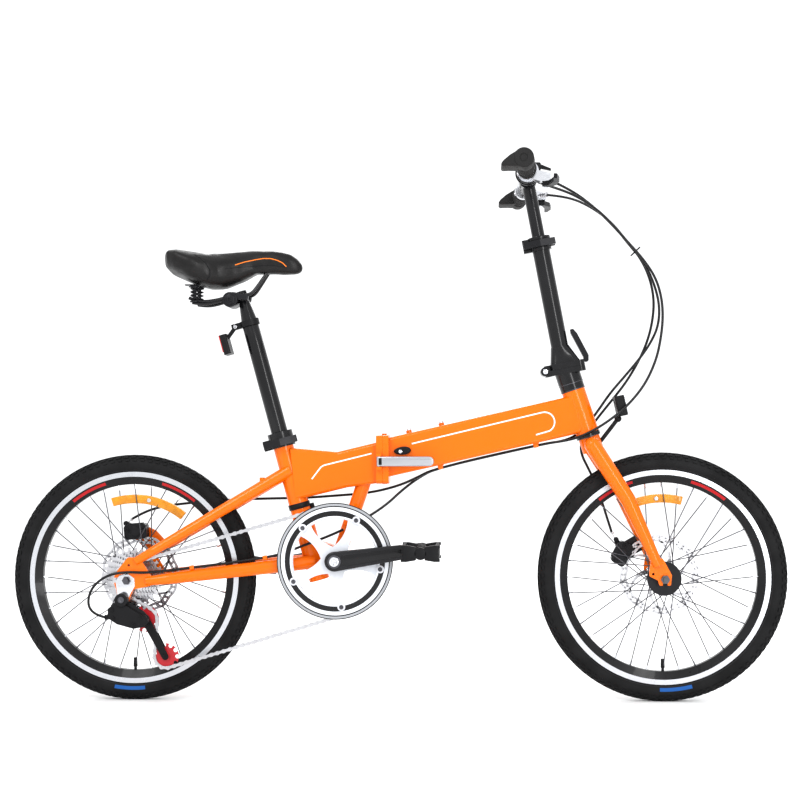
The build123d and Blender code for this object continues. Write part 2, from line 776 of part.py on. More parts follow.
def pedal(side, centre):
    """A resin platform pedal: a barrel on the pin, a bar in front and behind, and two end plates."""
    low, high = sorted((side * pedal_inner_y, side * (pedal_inner_y + pedal_length)))
    with BuildPart() as piece:
        with BuildSketch(side_plane(high)):
            with Locations((centre.X, centre.Z)):
                RectangleRounded(pedal_fore_aft, pedal_height, 9)
        extrude(amount=pedal_length)
        window = pedal_fore_aft / 2 - 24
        with BuildSketch(Plane.XY.offset(centre.Z - pedal_height)):
            for end in (-1, 1):
                with Locations((centre.X + end * (14.5 + window / 2 + 2), (low + high) / 2)):
                    Rectangle(window + 3, pedal_length - 24)
        extrude(amount=2 * pedal_height, mode=Mode.SUBTRACT)
        add(cross_rod(centre.X, centre.Z, low, high, pedal_pin_radius + running_gap), mode=Mode.SUBTRACT)
    return piece.part


with BuildPart() as right_pedal:
    add(pedal(-1, right_pedal_point))
keep(right_pedal, "right_pedal")

with BuildPart() as left_pedal:
    add(pedal(1, left_pedal_point))
keep(left_pedal, "left_pedal")


# =====================  Wheels  =====================
def wheel_section(centre):
    """A plane through a wheel's axle, with its local x across the wheel and its local y outwards."""
    return Plane(origin=centre, x_dir=(0, 1, 0), z_dir=(1, 0, 0))


def wheel_axis(centre):
    return Axis(centre, (0, 1, 0))


def tyre(centre):
    casing = tyre_width / 2
    with BuildPart() as piece:
        with BuildSketch(wheel_section(centre)):
            with Locations((0, tyre_radius - casing)):
                Circle(casing)
                Circle(casing - tyre_wall, mode=Mode.SUBTRACT)
            with Locations((0, rim_radius + face_gap - casing)):
                Rectangle(2 * tyre_width, 2 * casing, mode=Mode.SUBTRACT)
            bead = rim_width / 2 - rim_wall - 0.2
            for side in (-1, 1):
                with Locations((side * (bead - 1.3), rim_radius - 2.0)):
                    Rectangle(2.6, 8)
        revolve(axis=wheel_axis(centre))
    return piece.part


def rim(centre):
    half = rim_width / 2
    with BuildPart() as piece:
        with BuildSketch(wheel_section(centre)):
            with BuildLine():
                Polyline((half, rim_radius), (half, rim_radius - brake_band), (6, rim_inner_radius),
                         (-6, rim_inner_radius), (-half, rim_radius - brake_band), (-half, rim_radius),
                         (-half + rim_wall, rim_radius), (-half + rim_wall, rim_radius - brake_band + 2),
                         (half - rim_wall, rim_radius - brake_band + 2), (half - rim_wall, rim_radius), close=True)
            make_face()
        revolve(axis=wheel_axis(centre))
    return piece.part


def spokes(centre, right_y, left_y, flange_radius):
    """Crossed spokes: those of each flange lean alternately forwards and backwards."""
    root_radius = flange_radius + spoke_radius + 0.2
    lean = 68.0
    crossing = 1.15 * spoke_radius
    with BuildPart() as piece:
        for index in range(spoke_count):
            angle = 360 / spoke_count * index
            side = -1 if index % 2 else 1
            way = 1 if index % 4 < 2 else -1
            flange_y = side * (left_y if side > 0 else right_y)
            start_y = flange_y + side * way * crossing
            start_angle = radians(angle - way * lean)
            end_angle = radians(angle)
            start = centre + Vector(root_radius * cos(start_angle), start_y, root_radius * sin(start_angle))
            end_y = side * 2.5 + side * way * crossing
            end_reach = rim_inner_radius - 0.2
            end = centre + Vector(end_reach * cos(end_angle), end_y, end_reach * sin(end_angle))
            add(rod(start, end, spoke_radius))
    return piece.part


def rotor(centre, y_middle, bore):
    with BuildPart() as piece:
        plane = Plane(origin=(centre.X, y_middle + rotor_thickness / 2, centre.Z), x_dir=(1, 0, 0),
                      z_dir=(0, -1, 0))
        with BuildSketch(plane):
            Circle(rotor_radius)
            Circle(rotor_radius - rotor_track, mode=Mode.SUBTRACT)
            with PolarLocations(0, 6):
                with Locations((rotor_radius / 2, 0)):
                    Rectangle(rotor_radius - 8, 8)
            Circle(22)
            Circle(bore, mode=Mode.SUBTRACT)
            with PolarLocations(rotor_radius - rotor_track / 2, 24):
                Circle(3, mode=Mode.SUBTRACT)
        extrude(amount=rotor_thickness)
    return piece.part


hub_end_gap = 0.5
boss_radius = 17.0
with BuildPart() as front_hub:
    hub_end = front_hub_width / 2 - 3.0 - hub_end_gap
    cx, cz = origin_front.X, origin_front.Z
    add(cross_rod(cx, cz, -hub_end, hub_end, 12.0))
    add(cross_rod(cx, cz, -front_flange_y - 10, front_flange_y + 2, hub_barrel_radius))
    for side in (-1, 1):
        mid = side * front_flange_y
        add(cross_rod(cx, cz, mid - flange_thickness / 2, mid + flange_thickness / 2, front_flange_radius))
    add(cross_rod(cx, cz, -front_flange_y - 12, -front_flange_y - 7, 33.0))
    add(cross_rod(cx, cz, front_flange_y, front_rotor_y - rotor_thickness / 2, boss_radius))
    add(cross_rod(cx, cz, -hub_end, hub_end, front_axle_radius + running_gap), mode=Mode.SUBTRACT)
keep(front_hub, "front_hub")

with BuildPart() as front_rotor:
    add(rotor(origin_front, front_rotor_y, 12.0))
keep(front_rotor, "front_rotor")

with BuildPart() as rear_hub:
    cx, cz = axle_x, axle_z
    add(cross_rod(cx, cz, chain_y - 3.5, rear_rotor_y + 5, 12.0))
    add(cross_rod(cx, cz, -rear_flange_y[0], rear_flange_y[1], hub_barrel_radius))
    add(cross_rod(cx, cz, -rear_flange_y[0] - 1.5, -rear_flange_y[0] + 1.5, rear_flange_radius))
    add(cross_rod(cx, cz, rear_flange_y[1] - 1.5, rear_flange_y[1] + 1.5, rear_flange_radius))
    add(cross_rod(cx, cz, chain_y - 2.0, -rear_flange_y[0], boss_radius))
    add(cross_rod(cx, cz, rear_flange_y[1], rear_rotor_y - rotor_thickness / 2, boss_radius))
    add(cross_rod(cx, cz, -100, 100, rear_axle_radius + running_gap), mode=Mode.SUBTRACT)
keep(rear_hub, "rear_hub")

with BuildPart() as rear_rotor:
    add(rotor(origin_rear, rear_rotor_y, 12.0))
keep(rear_rotor, "rear_rotor")

for name, centre, right_y, left_y, flange_radius in (
    ("front", origin_front, front_flange_y, front_flange_y, front_flange_radius),
    ("rear", origin_rear, rear_flange_y[0], rear_flange_y[1], rear_flange_radius),
):
    with BuildPart() as wheel_tyre:
        add(tyre(centre))
    keep(wheel_tyre, f"{name}_tyre")
    with BuildPart() as wheel_rim:
        add(rim(centre))
    keep(wheel_rim, f"{name}_rim")
    with BuildPart() as wheel_spokes:
        add(spokes(centre, right_y, left_y, flange_radius))
    keep(wheel_spokes, f"{name}_spokes")

# =====================  Front half of the frame  =====================
hinge_front = fold_x + fold_plate
beam_up = Vector(-sin(radians(beam_slope)), 0, cos(radians(beam_slope)))
beam_along = Vector(cos(radians(beam_slope)), 0, sin(radians(beam_slope)))
beam_start = (0.0, 480.5)
beam_end_x = head_foot[0] - 14.0


def beam_line(x, offset=0.0):
    """The height of a line along the front beam, at a distance above its centre line."""
    rise = (x - beam_start[0]) * beam_along.Z / beam_along.X
    return beam_start[1] + rise + offset / cos(radians(beam_slope))


def front_beam_block(inset=0.0, stretch=0.0):
    half = beam_height / 2 - inset
    x_back = hinge_front - stretch
    return plate([
        (x_back, beam_line(x_back, half)), (beam_end_x, beam_line(beam_end_x, half)),
        (beam_end_x, beam_line(beam_end_x, -half)), (x_back, beam_line(x_back, -half))],
        inset - beam_half_width, beam_half_width - inset)


head_low = head_base
head_high = head_base + head_up * head_tube_length
boss_xs = (28.0, 92.0)
boss_height = 5.0
boss_bore = 2.5
cable_radius = 2.5
guide_xs = (89.0, 276.0)
guide_height = 2.0
cable_drop = guide_height + cable_radius

with BuildPart() as front_beam:
    add(front_beam_block())
    fillet(long_edges(front_beam, 100), beam_corner)
    add(front_beam_block(beam_wall, 6.0), mode=Mode.SUBTRACT)
    add(fold_plate_block(fold_x + face_gap / 2, hinge_front))
    add(plate([(fold_x + face_gap / 2, fold_low_knuckle + 1), (hinge_front, fold_low_knuckle + 1),
               (hinge_front, fold_high_knuckle - 1), (fold_x + face_gap / 2, fold_high_knuckle - 1)],
              fold_plate_left - 2, fold_pin_y))
    for low, high in ((fold_bottom - 1, fold_low_knuckle), (fold_high_knuckle, fold_top + 1)):
        add(fold_knuckle_rod(low, high, hinge_clear), mode=Mode.SUBTRACT)
    add(fold_knuckle_rod(fold_low_knuckle + face_gap, fold_high_knuckle - face_gap, knuckle_radius))
    add(fold_knuckle_rod(fold_bottom - 10, fold_top + 10, fold_pin_radius + running_gap), mode=Mode.SUBTRACT)
    for x in guide_xs:
        guide_plane = Plane(origin=(x, 0, beam_line(x, -beam_height / 2)), x_dir=beam_along, z_dir=-beam_up)
        with BuildSketch(guide_plane):
            Rectangle(12, 28)
        extrude(amount=guide_height)
    for x in boss_xs:
        foot = Vector(x, 0, beam_line(x, beam_height / 2 - beam_wall))
        top = foot + beam_up * (beam_wall + boss_height)
        add(rod(foot, top, 5.5))
        add(rod(foot, top, boss_bore), mode=Mode.SUBTRACT)
    add(rod(head_low, head_high, head_tube_radius), mode=Mode.SUBTRACT)
keep(front_beam, "front_beam")

with BuildPart() as head_tube:
    add(rod(head_low, head_high, head_tube_radius, bore=head_tube_bore))
keep(head_tube, "head_tube")

steerer_bore = steerer_radius + running_gap
crown_race = 8.0
with BuildPart() as headset:
    add(rod(head_low - head_up * crown_race, head_low, head_tube_radius + 1, bore=steerer_bore))
    add(rod(head_low, head_low + head_up * 6, head_tube_bore, bore=steerer_bore))
    add(rod(head_high, head_high + head_up * headset_height, head_tube_radius + 1, bore=steerer_bore))
    add(rod(head_high - head_up * 6, head_high, head_tube_bore, bore=steerer_bore))
keep(headset, "headset")

# ---- Main latch lever and its catch ----
latch_pivot = Vector(latch_pivot_x, latch_y, latch_pivot_z)
lever_clear = latch_height / 2 - face_gap
latch_tip_round = 4.0
with BuildPart() as latch_lever:
    with BuildSketch(side_plane(latch_y + latch_half_thickness)):
        with Locations((latch_pivot.X + latch_length / 2, latch_pivot.Z)):
            Rectangle(latch_length, 2 * lever_clear)
    extrude(amount=2 * latch_half_thickness)
    fillet(latch_lever.edges().filter_by(Axis.Y).group_by(Axis.X)[-1], latch_height / 3)
    fillet(latch_lever.edges().filter_by(Axis.Z).group_by(Axis.X)[-1], latch_tip_round)
    # The root is round about the pivot, whose pin stands up and down into the ears.
    add(rod(latch_pivot - Vector(0, 0, lever_clear), latch_pivot + Vector(0, 0, lever_clear), latch_half_thickness))
    add(rod(latch_pivot - Vector(0, 0, 15), latch_pivot + Vector(0, 0, 15), latch_pin_radius))
keep(latch_lever, "latch_lever")

catch_point = Vector(15.0, -beam_half_width, 490.5)
with BuildPart() as latch_catch:
    with BuildSketch(side_plane(catch_point.Y - face_gap)):
        with Locations((catch_point.X, catch_point.Z)):
            SlotOverall(34, 17)
    extrude(amount=10)
    fillet(latch_catch.edges().group_by(Axis.Y)[0], 2.0)
keep(latch_catch, "latch_catch")

# =====================  Fork and stem base  =====================
crown_centre = head_base - head_up * crown_drop
blade_points = [
    (crown_centre.X, 40.0, crown_centre.Z), (451.0, 47.0, 394.5), (500.0, 54.5, 284.0), (507.0, 55.5, 268.0)]
blade_radii = [16.0, 15.0, 10.5, 9.5]
fork_end_inner = front_hub_width / 2 + 0.5
fork_end_thickness = 6.0


def fork_end(side):
    """A fork end plate with the axle slot open below and two eyelets behind."""
    y_in, y_out = side * fork_end_inner, side * (fork_end_inner + fork_end_thickness)
    cx, cz = origin_front.X, origin_front.Z
    with BuildPart() as piece:
        add(plate([(cx - 26, cz + 40), (cx - 4, cz + 40), (cx + 13, cz + 8), (cx + 11, cz - 12), (cx - 11, cz - 12),
                   (cx - 14, cz - 2), (cx - 30, cz + 6), (cx - 30, cz + 16)], min(y_in, y_out), max(y_in, y_out), 3))
        with BuildSketch(side_plane(max(y_in, y_out) + 1)):
            with Locations((cx, cz)):
                Circle(front_axle_radius + 0.1)
            with Locations((cx, cz - 15)):
                Rectangle(2 * (front_axle_radius + 0.1), 30)
            with Locations((cx - 22.5, cz + 10)):
                Circle(2.5)
        extrude(amount=fork_end_thickness + 2, mode=Mode.SUBTRACT)
    return piece.part


steerer_top = head_high + head_up * (headset_height + 27.0)
with BuildPart() as fork:
    for side in (-1, 1):
        add(bent_rod(mirrored(blade_points, side), blade_radii))
        add(fork_end(side))
        with Locations((crown_centre.X, side * 40.0, crown_centre.Z)):
            Sphere(16)
    add(cross_rod(crown_centre.X, crown_centre.Z, -40, 40, 16.0))
    add(rod(crown_centre - head_up * 12, head_base - head_up * (crown_race + face_gap), 21.0))
    add(rod(crown_centre, steerer_top, steerer_radius))
keep(fork, "fork")

with BuildPart() as front_axle:
    cx, cz = origin_front.X, origin_front.Z
    nut_in = fork_end_inner + fork_end_thickness
    add(cross_rod(cx, cz, -nut_in - 11, nut_in + 11, front_axle_radius))
    for side in (-1, 1):
        spans = sorted((side * nut_in, side * (nut_in + 7.5)))
        add(hexagon_nut(cx, cz, spans[0], spans[1], 15.0))
        cone = sorted((side * (front_hub_width / 2 - 3), side * fork_end_inner))
        add(cross_rod(cx, cz, cone[0], cone[1], 8.5))
keep(front_axle, "front_axle")

with BuildPart() as front_caliper:
    add(caliper_body(caliper_front_centre, origin_front, front_rotor_y + 16))
    add(plate([(440, 300), (446, 268), (492, 292), (478, 322)], 48, 53, 3))
    add(fork.part, mode=Mode.SUBTRACT)
keep(front_caliper, "front_caliper")

with BuildPart() as front_caliper_arm:
    add(caliper_arm(caliper_front_centre, front_rotor_y + 16 + arm_gap, 28.0, 110.0))
keep(front_caliper_arm, "front_caliper_arm")

with BuildPart() as front_reflector:
    add(bent_rod([(402.0, 0, 506.0), (413.0, 0, 520.0), (437.0, 0, 551.0)], [4.0, 4.0, 4.0]))
    with Locations((437.0, 0, 551.0)):
        Sphere(7)
    with BuildSketch(tilted_plane(Vector(441, 0, 576), 12.0, -20)):
        RectangleRounded(18, 52, 4)
    extrude(amount=40)
    add(fork.part, mode=Mode.SUBTRACT)
keep(front_reflector, "front_reflector")

# ---- Stem base: clamps the steerer and carries the lower half of the stem hinge ----
stem_back = -27.0
stem_front = 41.0
stem_half_width = 25.0
stem_pin_radius = 5.0
stem_knuckle_inner = 12.0


def post_level(distance):
    return tilted_plane(stem_base_point, post_angle, distance)


stem_pin_point = post_level(0).from_local_coords((-stem_pin_back, 0, 0))


def stem_flange(thickness):
    with BuildPart() as piece:
        with BuildSketch(post_level(0)):
            with Locations(((stem_back + stem_front) / 2, 0)):
                RectangleRounded(stem_front - stem_back, 2 * stem_half_width, 10)
        extrude(amount=thickness)
    return piece.part


def stem_knuckle(y_right, y_left, thickness):
    """A hinge knuckle round the stem's pin, with its web to the flange."""
    plane = Plane(origin=stem_pin_point + Vector(0, y_left, 0), x_dir=post_level(0).x_dir, z_dir=(0, -1, 0))
    depth = thickness
    with BuildPart() as piece:
        with BuildSketch(plane):
            Circle(knuckle_radius)
            with Locations((stem_pin_back / 2, depth / 2)):
                Rectangle(stem_pin_back, abs(depth))
        extrude(amount=y_left - y_right)
    return piece.part


with BuildPart() as stem_base:
    add(stem_flange(-stem_plate))
    for side in (-1, 1):
        low, high = sorted((side * stem_knuckle_inner, side * stem_half_width))
        add(stem_knuckle(low, high, -stem_plate))
    add(rod(head_high + head_up * (headset_height + face_gap), steerer_top - head_up * 2.0, 24.5))
    with BuildSketch(post_level(face_gap / -2)):
        Rectangle(300, 300)
    extrude(amount=60, mode=Mode.SUBTRACT)
    for side in (-1, 1):
        low, high = sorted((side * stem_knuckle_inner, side * stem_half_width))
        add(cross_rod(stem_pin_point.X, stem_pin_point.Z, low, high, knuckle_radius))
    add(cross_rod(stem_pin_point.X, stem_pin_point.Z, -stem_knuckle_inner, stem_knuckle_inner,
                  knuckle_radius + 0.6), mode=Mode.SUBTRACT)
    add(rod(crown_centre, steerer_top, steerer_radius), mode=Mode.SUBTRACT)
    add(cross_rod(stem_pin_point.X, stem_pin_point.Z, -stem_half_width - 3, stem_half_width + 3, stem_pin_radius))
keep(stem_base, "stem_base")

with BuildPart() as outer_post:
    add(stem_flange(stem_plate))
    add(stem_knuckle(-stem_knuckle_inner + face_gap, stem_knuckle_inner - face_gap, stem_plate))
    with BuildSketch(post_level(face_gap / 2)):
        Rectangle(300, 300)
    extrude(amount=-60, mode=Mode.SUBTRACT)
    with BuildSketch(post_level(stem_plate)):
        with Locations((4, 0)):
            RectangleRounded(58, 44, 12)
    with BuildSketch(post_level(44.0)):
        Circle(outer_post_radius + 1)
    loft()
    with BuildSketch(post_level(30.0)):
        Circle(outer_post_radius)
    extrude(amount=outer_post_length - 30.0)
    for side in (-1, 1):
        low, high = sorted((side * stem_knuckle_inner, side * (stem_half_width + 1)))
        add(cross_rod(stem_pin_point.X, stem_pin_point.Z, low, high, knuckle_radius + 0.6), mode=Mode.SUBTRACT)
    add(cross_rod(stem_pin_point.X, stem_pin_point.Z, -stem_knuckle_inner + face_gap,
                  stem_knuckle_inner - face_gap, knuckle_radius))
    # The collar at the mouth, with the ears that its quick-release bolt draws together.
    with BuildSketch(post_level(outer_post_length - 26)):
        Circle(outer_post_radius + 4)
        with Locations((-26, 0)):
            Rectangle(16, 14)
    extrude(amount=26)
    with BuildSketch(post_level(outer_post_length)):
        with Locations((-24, 0)):
            Rectangle(30, slit_width)
    extrude(amount=-34, mode=Mode.SUBTRACT)
    with BuildSketch(post_level(60.0)):
        Circle(inner_post_radius + running_gap)
    extrude(amount=outer_post_length, mode=Mode.SUBTRACT)
    add(cross_rod(stem_pin_point.X, stem_pin_point.Z, -60, 60, stem_pin_radius + running_gap), mode=Mode.SUBTRACT)
    post_bolt = post_level(outer_post_length - 13).from_local_coords((-28.0, 0, 0))
    add(rod(post_bolt + Vector(0, cam_y + cam_radius + 0.4, 0), post_bolt + Vector(0, 13, 0), 3.0))
keep(outer_post, "outer_post")

post_cam = post_level(outer_post_length - 13).from_local_coords((-28.0, cam_y, 0))
with BuildPart() as post_clamp_lever:
    add(quick_lever(Plane(origin=post_cam, x_dir=post_level(0).x_dir, z_dir=post_up), 56.0, 13.0, cam_y, 5.0))
keep(post_clamp_lever, "post_clamp_lever")

# ---- Stem latch: a long lever up the front of the post ----
latch_root_radius = 4.5
stem_latch_pivot = post_level(0).from_local_coords((stem_front + latch_root_radius + face_gap, 0, 9.0))
stem_latch_length = 64.0
with BuildPart() as stem_latch:
    latch_plane = Plane(origin=stem_latch_pivot + Vector(0, 9, 0), x_dir=post_level(0).x_dir, z_dir=(0, -1, 0))
    with BuildSketch(latch_plane):
        Circle(latch_root_radius)
        with BuildLine():
            Polyline((latch_root_radius, 0), (6, 8), (-8, stem_latch_length - 10), (-14, stem_latch_length),
                     (-20, stem_latch_length), (-20, stem_latch_length - 8), (-latch_root_radius, 6),
                     (-latch_root_radius, 0), close=True)
        make_face()
    extrude(amount=18)
    fillet(stem_latch.edges().filter_by(Axis.Y), 1.5)
keep(stem_latch, "stem_latch")

# =====================  Handlebar  =====================
bar_level = (handlebar_height - stem_joint[1]) / post_up.Z
bar_centre = stem_base_point + post_up * bar_level
inner_post_low = 150.0
with BuildPart() as inner_post:
    add(rod(stem_base_point + post_up * inner_post_low, bar_centre - post_up * (bar_radius - 1),
            inner_post_radius))
    add(cross_rod(bar_centre.X, bar_centre.Z, -22, 22, bar_radius + 5))
    add(cross_rod(bar_centre.X, bar_centre.Z, -30, 30, bar_radius), mode=Mode.SUBTRACT)
keep(inner_post, "inner_post")

bar_bend_y = 60.0


def bar_point(y):
    """A point on the handlebar's axis, which sweeps back outside the bends."""
    share = max(0.0, (abs(y) - bar_bend_y) / (handlebar_half_width - bar_bend_y))
    return Vector(bar_centre.X - bar_sweep * share, y, bar_centre.Z)


bar_end = handlebar_half_width - 2.0
with BuildPart() as handlebar:
    add(bent_rod([bar_point(-bar_end), bar_point(-bar_bend_y), bar_point(bar_bend_y), bar_point(bar_end)],
                 [11.0, bar_radius, bar_radius, 11.0]))
keep(handlebar, "handlebar")

grip_inner = handlebar_half_width - grip_length
with BuildPart() as grips:
    for side in (-1, 1):
        add(rod(bar_point(side * grip_inner), bar_point(side * handlebar_half_width), grip_radius))
        y_in, y_out = side * (grip_inner + 62), side * (handlebar_half_width - 3)
        outer = bar_point(side * (handlebar_half_width - 20))
        add(plate([(outer.X + 8, outer.Z + 15), (outer.X - 30, outer.Z + 3), (outer.X - 44, outer.Z - 9),
                   (outer.X - 40, outer.Z - 15), (outer.X - 22, outer.Z - 12), (outer.X + 4, outer.Z - 10)],
                  min(y_in, y_out), max(y_in, y_out), 2.5))
    add(handlebar.part, mode=Mode.SUBTRACT)
keep(grips, "grips")

lever_pivot_offset = Vector(34.0, 0, -14.0)
lever_drop = 8.0
lever_thickness = 9.0
lever_pin_radius = 3.0
shifter_radius = bar_radius + 8.0
shift_point = bar_point(-perch_y + 30)


def lever_root(side):
    """The top of a brake lever's pivot."""
    return bar_point(side * (perch_y + 2)) + lever_pivot_offset


with BuildPart() as lever_perches:
    for side in (-1, 1):
        ring_in = bar_point(side * (perch_y - 9))
        ring_out = bar_point(side * (perch_y + 9))
        add(rod(ring_in, ring_out, bar_radius + 5))
        pivot = bar_point(side * perch_y) + lever_pivot_offset
        low, high = sorted((side * (perch_y - 20), side * (perch_y + 12)))
        bx, bz = bar_point(side * perch_y).X, bar_point(side * perch_y).Z
        add(plate([(bx + 8, bz + 2), (pivot.X + 10, pivot.Z + 7), (pivot.X + 10, pivot.Z - lever_drop + face_gap),
                   (pivot.X - 10, pivot.Z - lever_drop + face_gap), (bx + 4, bz - 16)], low, high, 1.0))
        barrel_start = Vector(pivot.X - 2, side * (perch_y - 20), pivot.Z)
        add(rod(barrel_start, barrel_start + Vector(14, -side * 14, 0), 5.0))
        # The lever's pin hangs from the perch, with a head under the lever.
        root = lever_root(side)
        under = lever_drop + lever_thickness + face_gap
        add(rod(root - Vector(0, 0, under + 1.5), root - Vector(0, 0, lever_drop - 4), lever_pin_radius))
        add(rod(root - Vector(0, 0, under + 1.5), root - Vector(0, 0, under), lever_pin_radius + 2))
    # The shifter's body on the right, just inside the perch.
    add(cross_rod(shift_point.X, shift_point.Z, -perch_y + 9, -perch_y + 36, shifter_radius))
    add(handlebar.part, mode=Mode.SUBTRACT)
keep(lever_perches, "lever_perches")


def brake_lever(side):
    """A brake lever blade: from its pivot ahead of the bar, outwards along the grip."""
    root = lever_root(side)
    with BuildPart() as piece:
        plane = Plane(origin=(root.X, 0, root.Z - lever_drop), x_dir=(1, 0, 0), z_dir=(0, 0, 1))
        with BuildSketch(plane):
            with BuildLine():
                start_y = side * (perch_y - 6)
                Polyline((8, start_y), (20, side * (perch_y + 20)), (24, side * (perch_y + 60)),
                         (18, side * (perch_y + 100)), (12, side * (perch_y + 104)), (12, side * (perch_y + 98)),
                         (13, side * (perch_y + 60)), (6, side * (perch_y + 22)), (-6, side * (perch_y + 8)),
                         (-4, start_y), close=True)
            make_face()
        extrude(amount=-lever_thickness)
        fillet(piece.edges().filter_by(Axis.Z), 1.5)
        add(rod(root - Vector(0, 0, 20), root, lever_pin_radius + running_gap), mode=Mode.SUBTRACT)
    return piece.part


with BuildPart() as left_brake_lever:
    add(brake_lever(1))
keep(left_brake_lever, "left_brake_lever")
with BuildPart() as right_brake_lever:
    add(brake_lever(-1))
keep(right_brake_lever, "right_brake_lever")

shift_half_width = 4.0
with BuildPart() as shift_lever:
    thumb_outline = [(2, 24), (20, 18), (44, 8), (44, 4), (24, 8.5), (16, 15.5), (4, 21.3)]
    y_right, y_left = shift_point.Y - shift_half_width, shift_point.Y + shift_half_width
    add(plate([(shift_point.X + x, shift_point.Z + z) for x, z in thumb_outline], y_right, y_left))
    # Its ring turns on the shifter's body.
    add(cross_rod(shift_point.X, shift_point.Z, y_right, y_left, shifter_radius + 3))
    add(cross_rod(shift_point.X, shift_point.Z, y_right, y_left, shifter_radius + running_gap), mode=Mode.SUBTRACT)
keep(shift_lever, "shift_lever")

# =====================  Seat  =====================
saddle_underside = 815.0
post_top_level = (saddle_underside - 30.0 - seat_foot[1]) / seat_up.Z
seatpost_length = 350.0
seatpost_top = seat_base + seat_up * post_top_level
with BuildPart() as seatpost:
    add(rod(seatpost_top - seat_up * seatpost_length, seatpost_top, seatpost_radius, bore=seatpost_radius - 2.5))
keep(seatpost, "seatpost")

with BuildPart() as saddle:
    with BuildSketch(side_plane(80)):
        with BuildLine():
            Polyline((-456, 872), (-440, saddle_top), (-400, 882), (-330, 880), (-240, 888), (-205, 882),
                     (-180, 858), (-195, 842), (-258, 846), (-300, 828), (-350, 812), (-400, 818), (-446, 846),
                     close=True)
        make_face()
    extrude(amount=160)
    with BuildSketch(Plane.XY.offset(780)):
        with BuildLine():
            Polyline((-456, 30), (-450, 58), (-420, 74), (-380, 68), (-330, 42), (-280, 26), (-200, 19), (-180, 9),
                     (-180, -9), (-200, -19), (-280, -26), (-330, -42), (-380, -68), (-420, -74), (-450, -58),
                     (-456, -30), close=True)
        make_face()
    extrude(amount=140, mode=Mode.INTERSECT)
keep(saddle, "saddle")

with BuildPart() as saddle_clamp:
    clamp_at = seatpost_top
    with Locations(clamp_at + Vector(0, 0, 6)):
        Box(52, 40, 12)
    with Locations(clamp_at + Vector(0, 0, 22)):
        Box(48, 46, 10)
    for side in (-1, 1):
        add(bent_rod([(-405, side * 26, 806), (-372, side * 22, clamp_at.Z + 14), (-262, side * 22, clamp_at.Z + 14),
                      (-225, side * 8, 838)], [3.5, 3.5, 3.5, 3.5]))
        add(rod((-405, side * 26, 800), (-405, side * 26, 828), 9.0))
    add(rod(seatpost_top - seat_up * 12, seatpost_top + seat_up * 2, seatpost_radius + 4))
    add(seatpost.part, mode=Mode.SUBTRACT)
    add(saddle.part, mode=Mode.SUBTRACT)
keep(saddle_clamp, "saddle_clamp")

reflector_level = (745.0 - seat_foot[1]) / seat_up.Z
with BuildPart() as rear_reflector:
    with BuildSketch(seat_level(reflector_level - 6)):
        Circle(seatpost_radius + 2.5)
        with Locations((-26, 0)):
            Rectangle(22, 10)
        Circle(seatpost_radius, mode=Mode.SUBTRACT)
    extrude(amount=12)
    add(rod((-318, 0, 736), (-334, 0, 714), 4.0))
    with BuildSketch(tilted_plane(Vector(-335, 0, 702), seat_angle, -20)):
        RectangleRounded(14, 46, 4)
    extrude(amount=40)
keep(rear_reflector, "rear_reflector")


# =====================  Cables  =====================
def under_beam(x, y):
    return (x, y, beam_line(x, -beam_height / 2) - cable_drop / beam_along.X)


# The routes run from the levers to the brakes and the gear.  Each is cut where it passes from one
# moving part of the bicycle to the next, in the middle of a straight run.
rear_brake_route = [
    (305.0, -94.0, 1006.0), (345.0, -66.0, 992.0), (390.0, -42.0, 962.0), (425.0, -26.0, 930.0),
    (457.0, -9.0, 898.0), (488.0, -7.0, 863.0), (511.0, -8.0, 828.0), (522.0, -13.0, 790.0),
    (524.0, -22.0, 750.0), (519.0, -28.0, 708.0), (509.0, -32.0, 664.0), (486.0, -34.5, 615.0),
    (450.0, -35.0, 573.0), (418.0, -34.5, 548.0), (390.0, -33.0, 530.0), (362.0, -27.0, 516.0),
    (332.0, -15.0, 508.0), under_beam(292, -7.0), under_beam(76, -7.5), (42.0, -8.5, 437.0),
    (8.0, -3.0, 422.0), (-36.0, 13.0, 410.0), (-74.0, 20.0, 404.5), (-120.0, 23.0, 401.0),
    (-182.0, 26.0, 396.5), (-250.0, 40.0, 395.0), (-312.0, 50.0, 393.0), (-370.0, 57.0, 390.0),
    (-425.0, 61.0, 385.0), (-475.0, 64.0, 379.0), (-515.0, 67.0, 368.0), (-543.0, 69.0, 352.0),
]
gear_route = [
    (281.0, -106.0, 1001.0), (312.0, -103.0, 991.0), (352.0, -88.0, 978.0), (395.0, -58.0, 955.0),
    (432.0, -24.0, 925.0), (460.0, -2.0, 893.0), (490.0, 0.0, 858.0), (509.0, 2.0, 818.0),
    (521.0, 10.0, 775.0), (519.0, 15.0, 733.0), (503.0, 21.0, 698.0), (480.0, 26.0, 666.0),
    (452.0, 31.0, 633.0), (424.0, 34.0, 601.0), (400.0, 34.0, 566.0), (378.0, 33.0, 537.0),
    (355.0, 27.0, 517.0), (328.0, 15.0, 507.0), under_beam(290, 7.0), under_beam(80, 7.5),
    (44.0, 8.0, 436.0), (12.0, 4.0, 412.0), (-18.0, -6.0, 384.0), (-58.0, -15.0, 358.0),
    (-98.0, -19.0, 338.0), (-140.0, -25.5, 320.0), (-180.0, -28.5, 306.0), (-222.0, -32.0, 289.0),
    (-270.0, -37.0, 280.5), (-330.0, -43.5, 272.5), (-390.0, -54.0, 265.5), (-445.0, -64.0, 259.5),
    (-485.0, -74.5, 256.5), (-523.0, -78.0, 259.0), (-560.0, -79.0, 252.0), (-589.0, -79.0, 228.0),
    (-597.0, -78.5, 196.0), (-583.0, -78.0, 176.0), (-562.5, -78.0, 171.0),
]
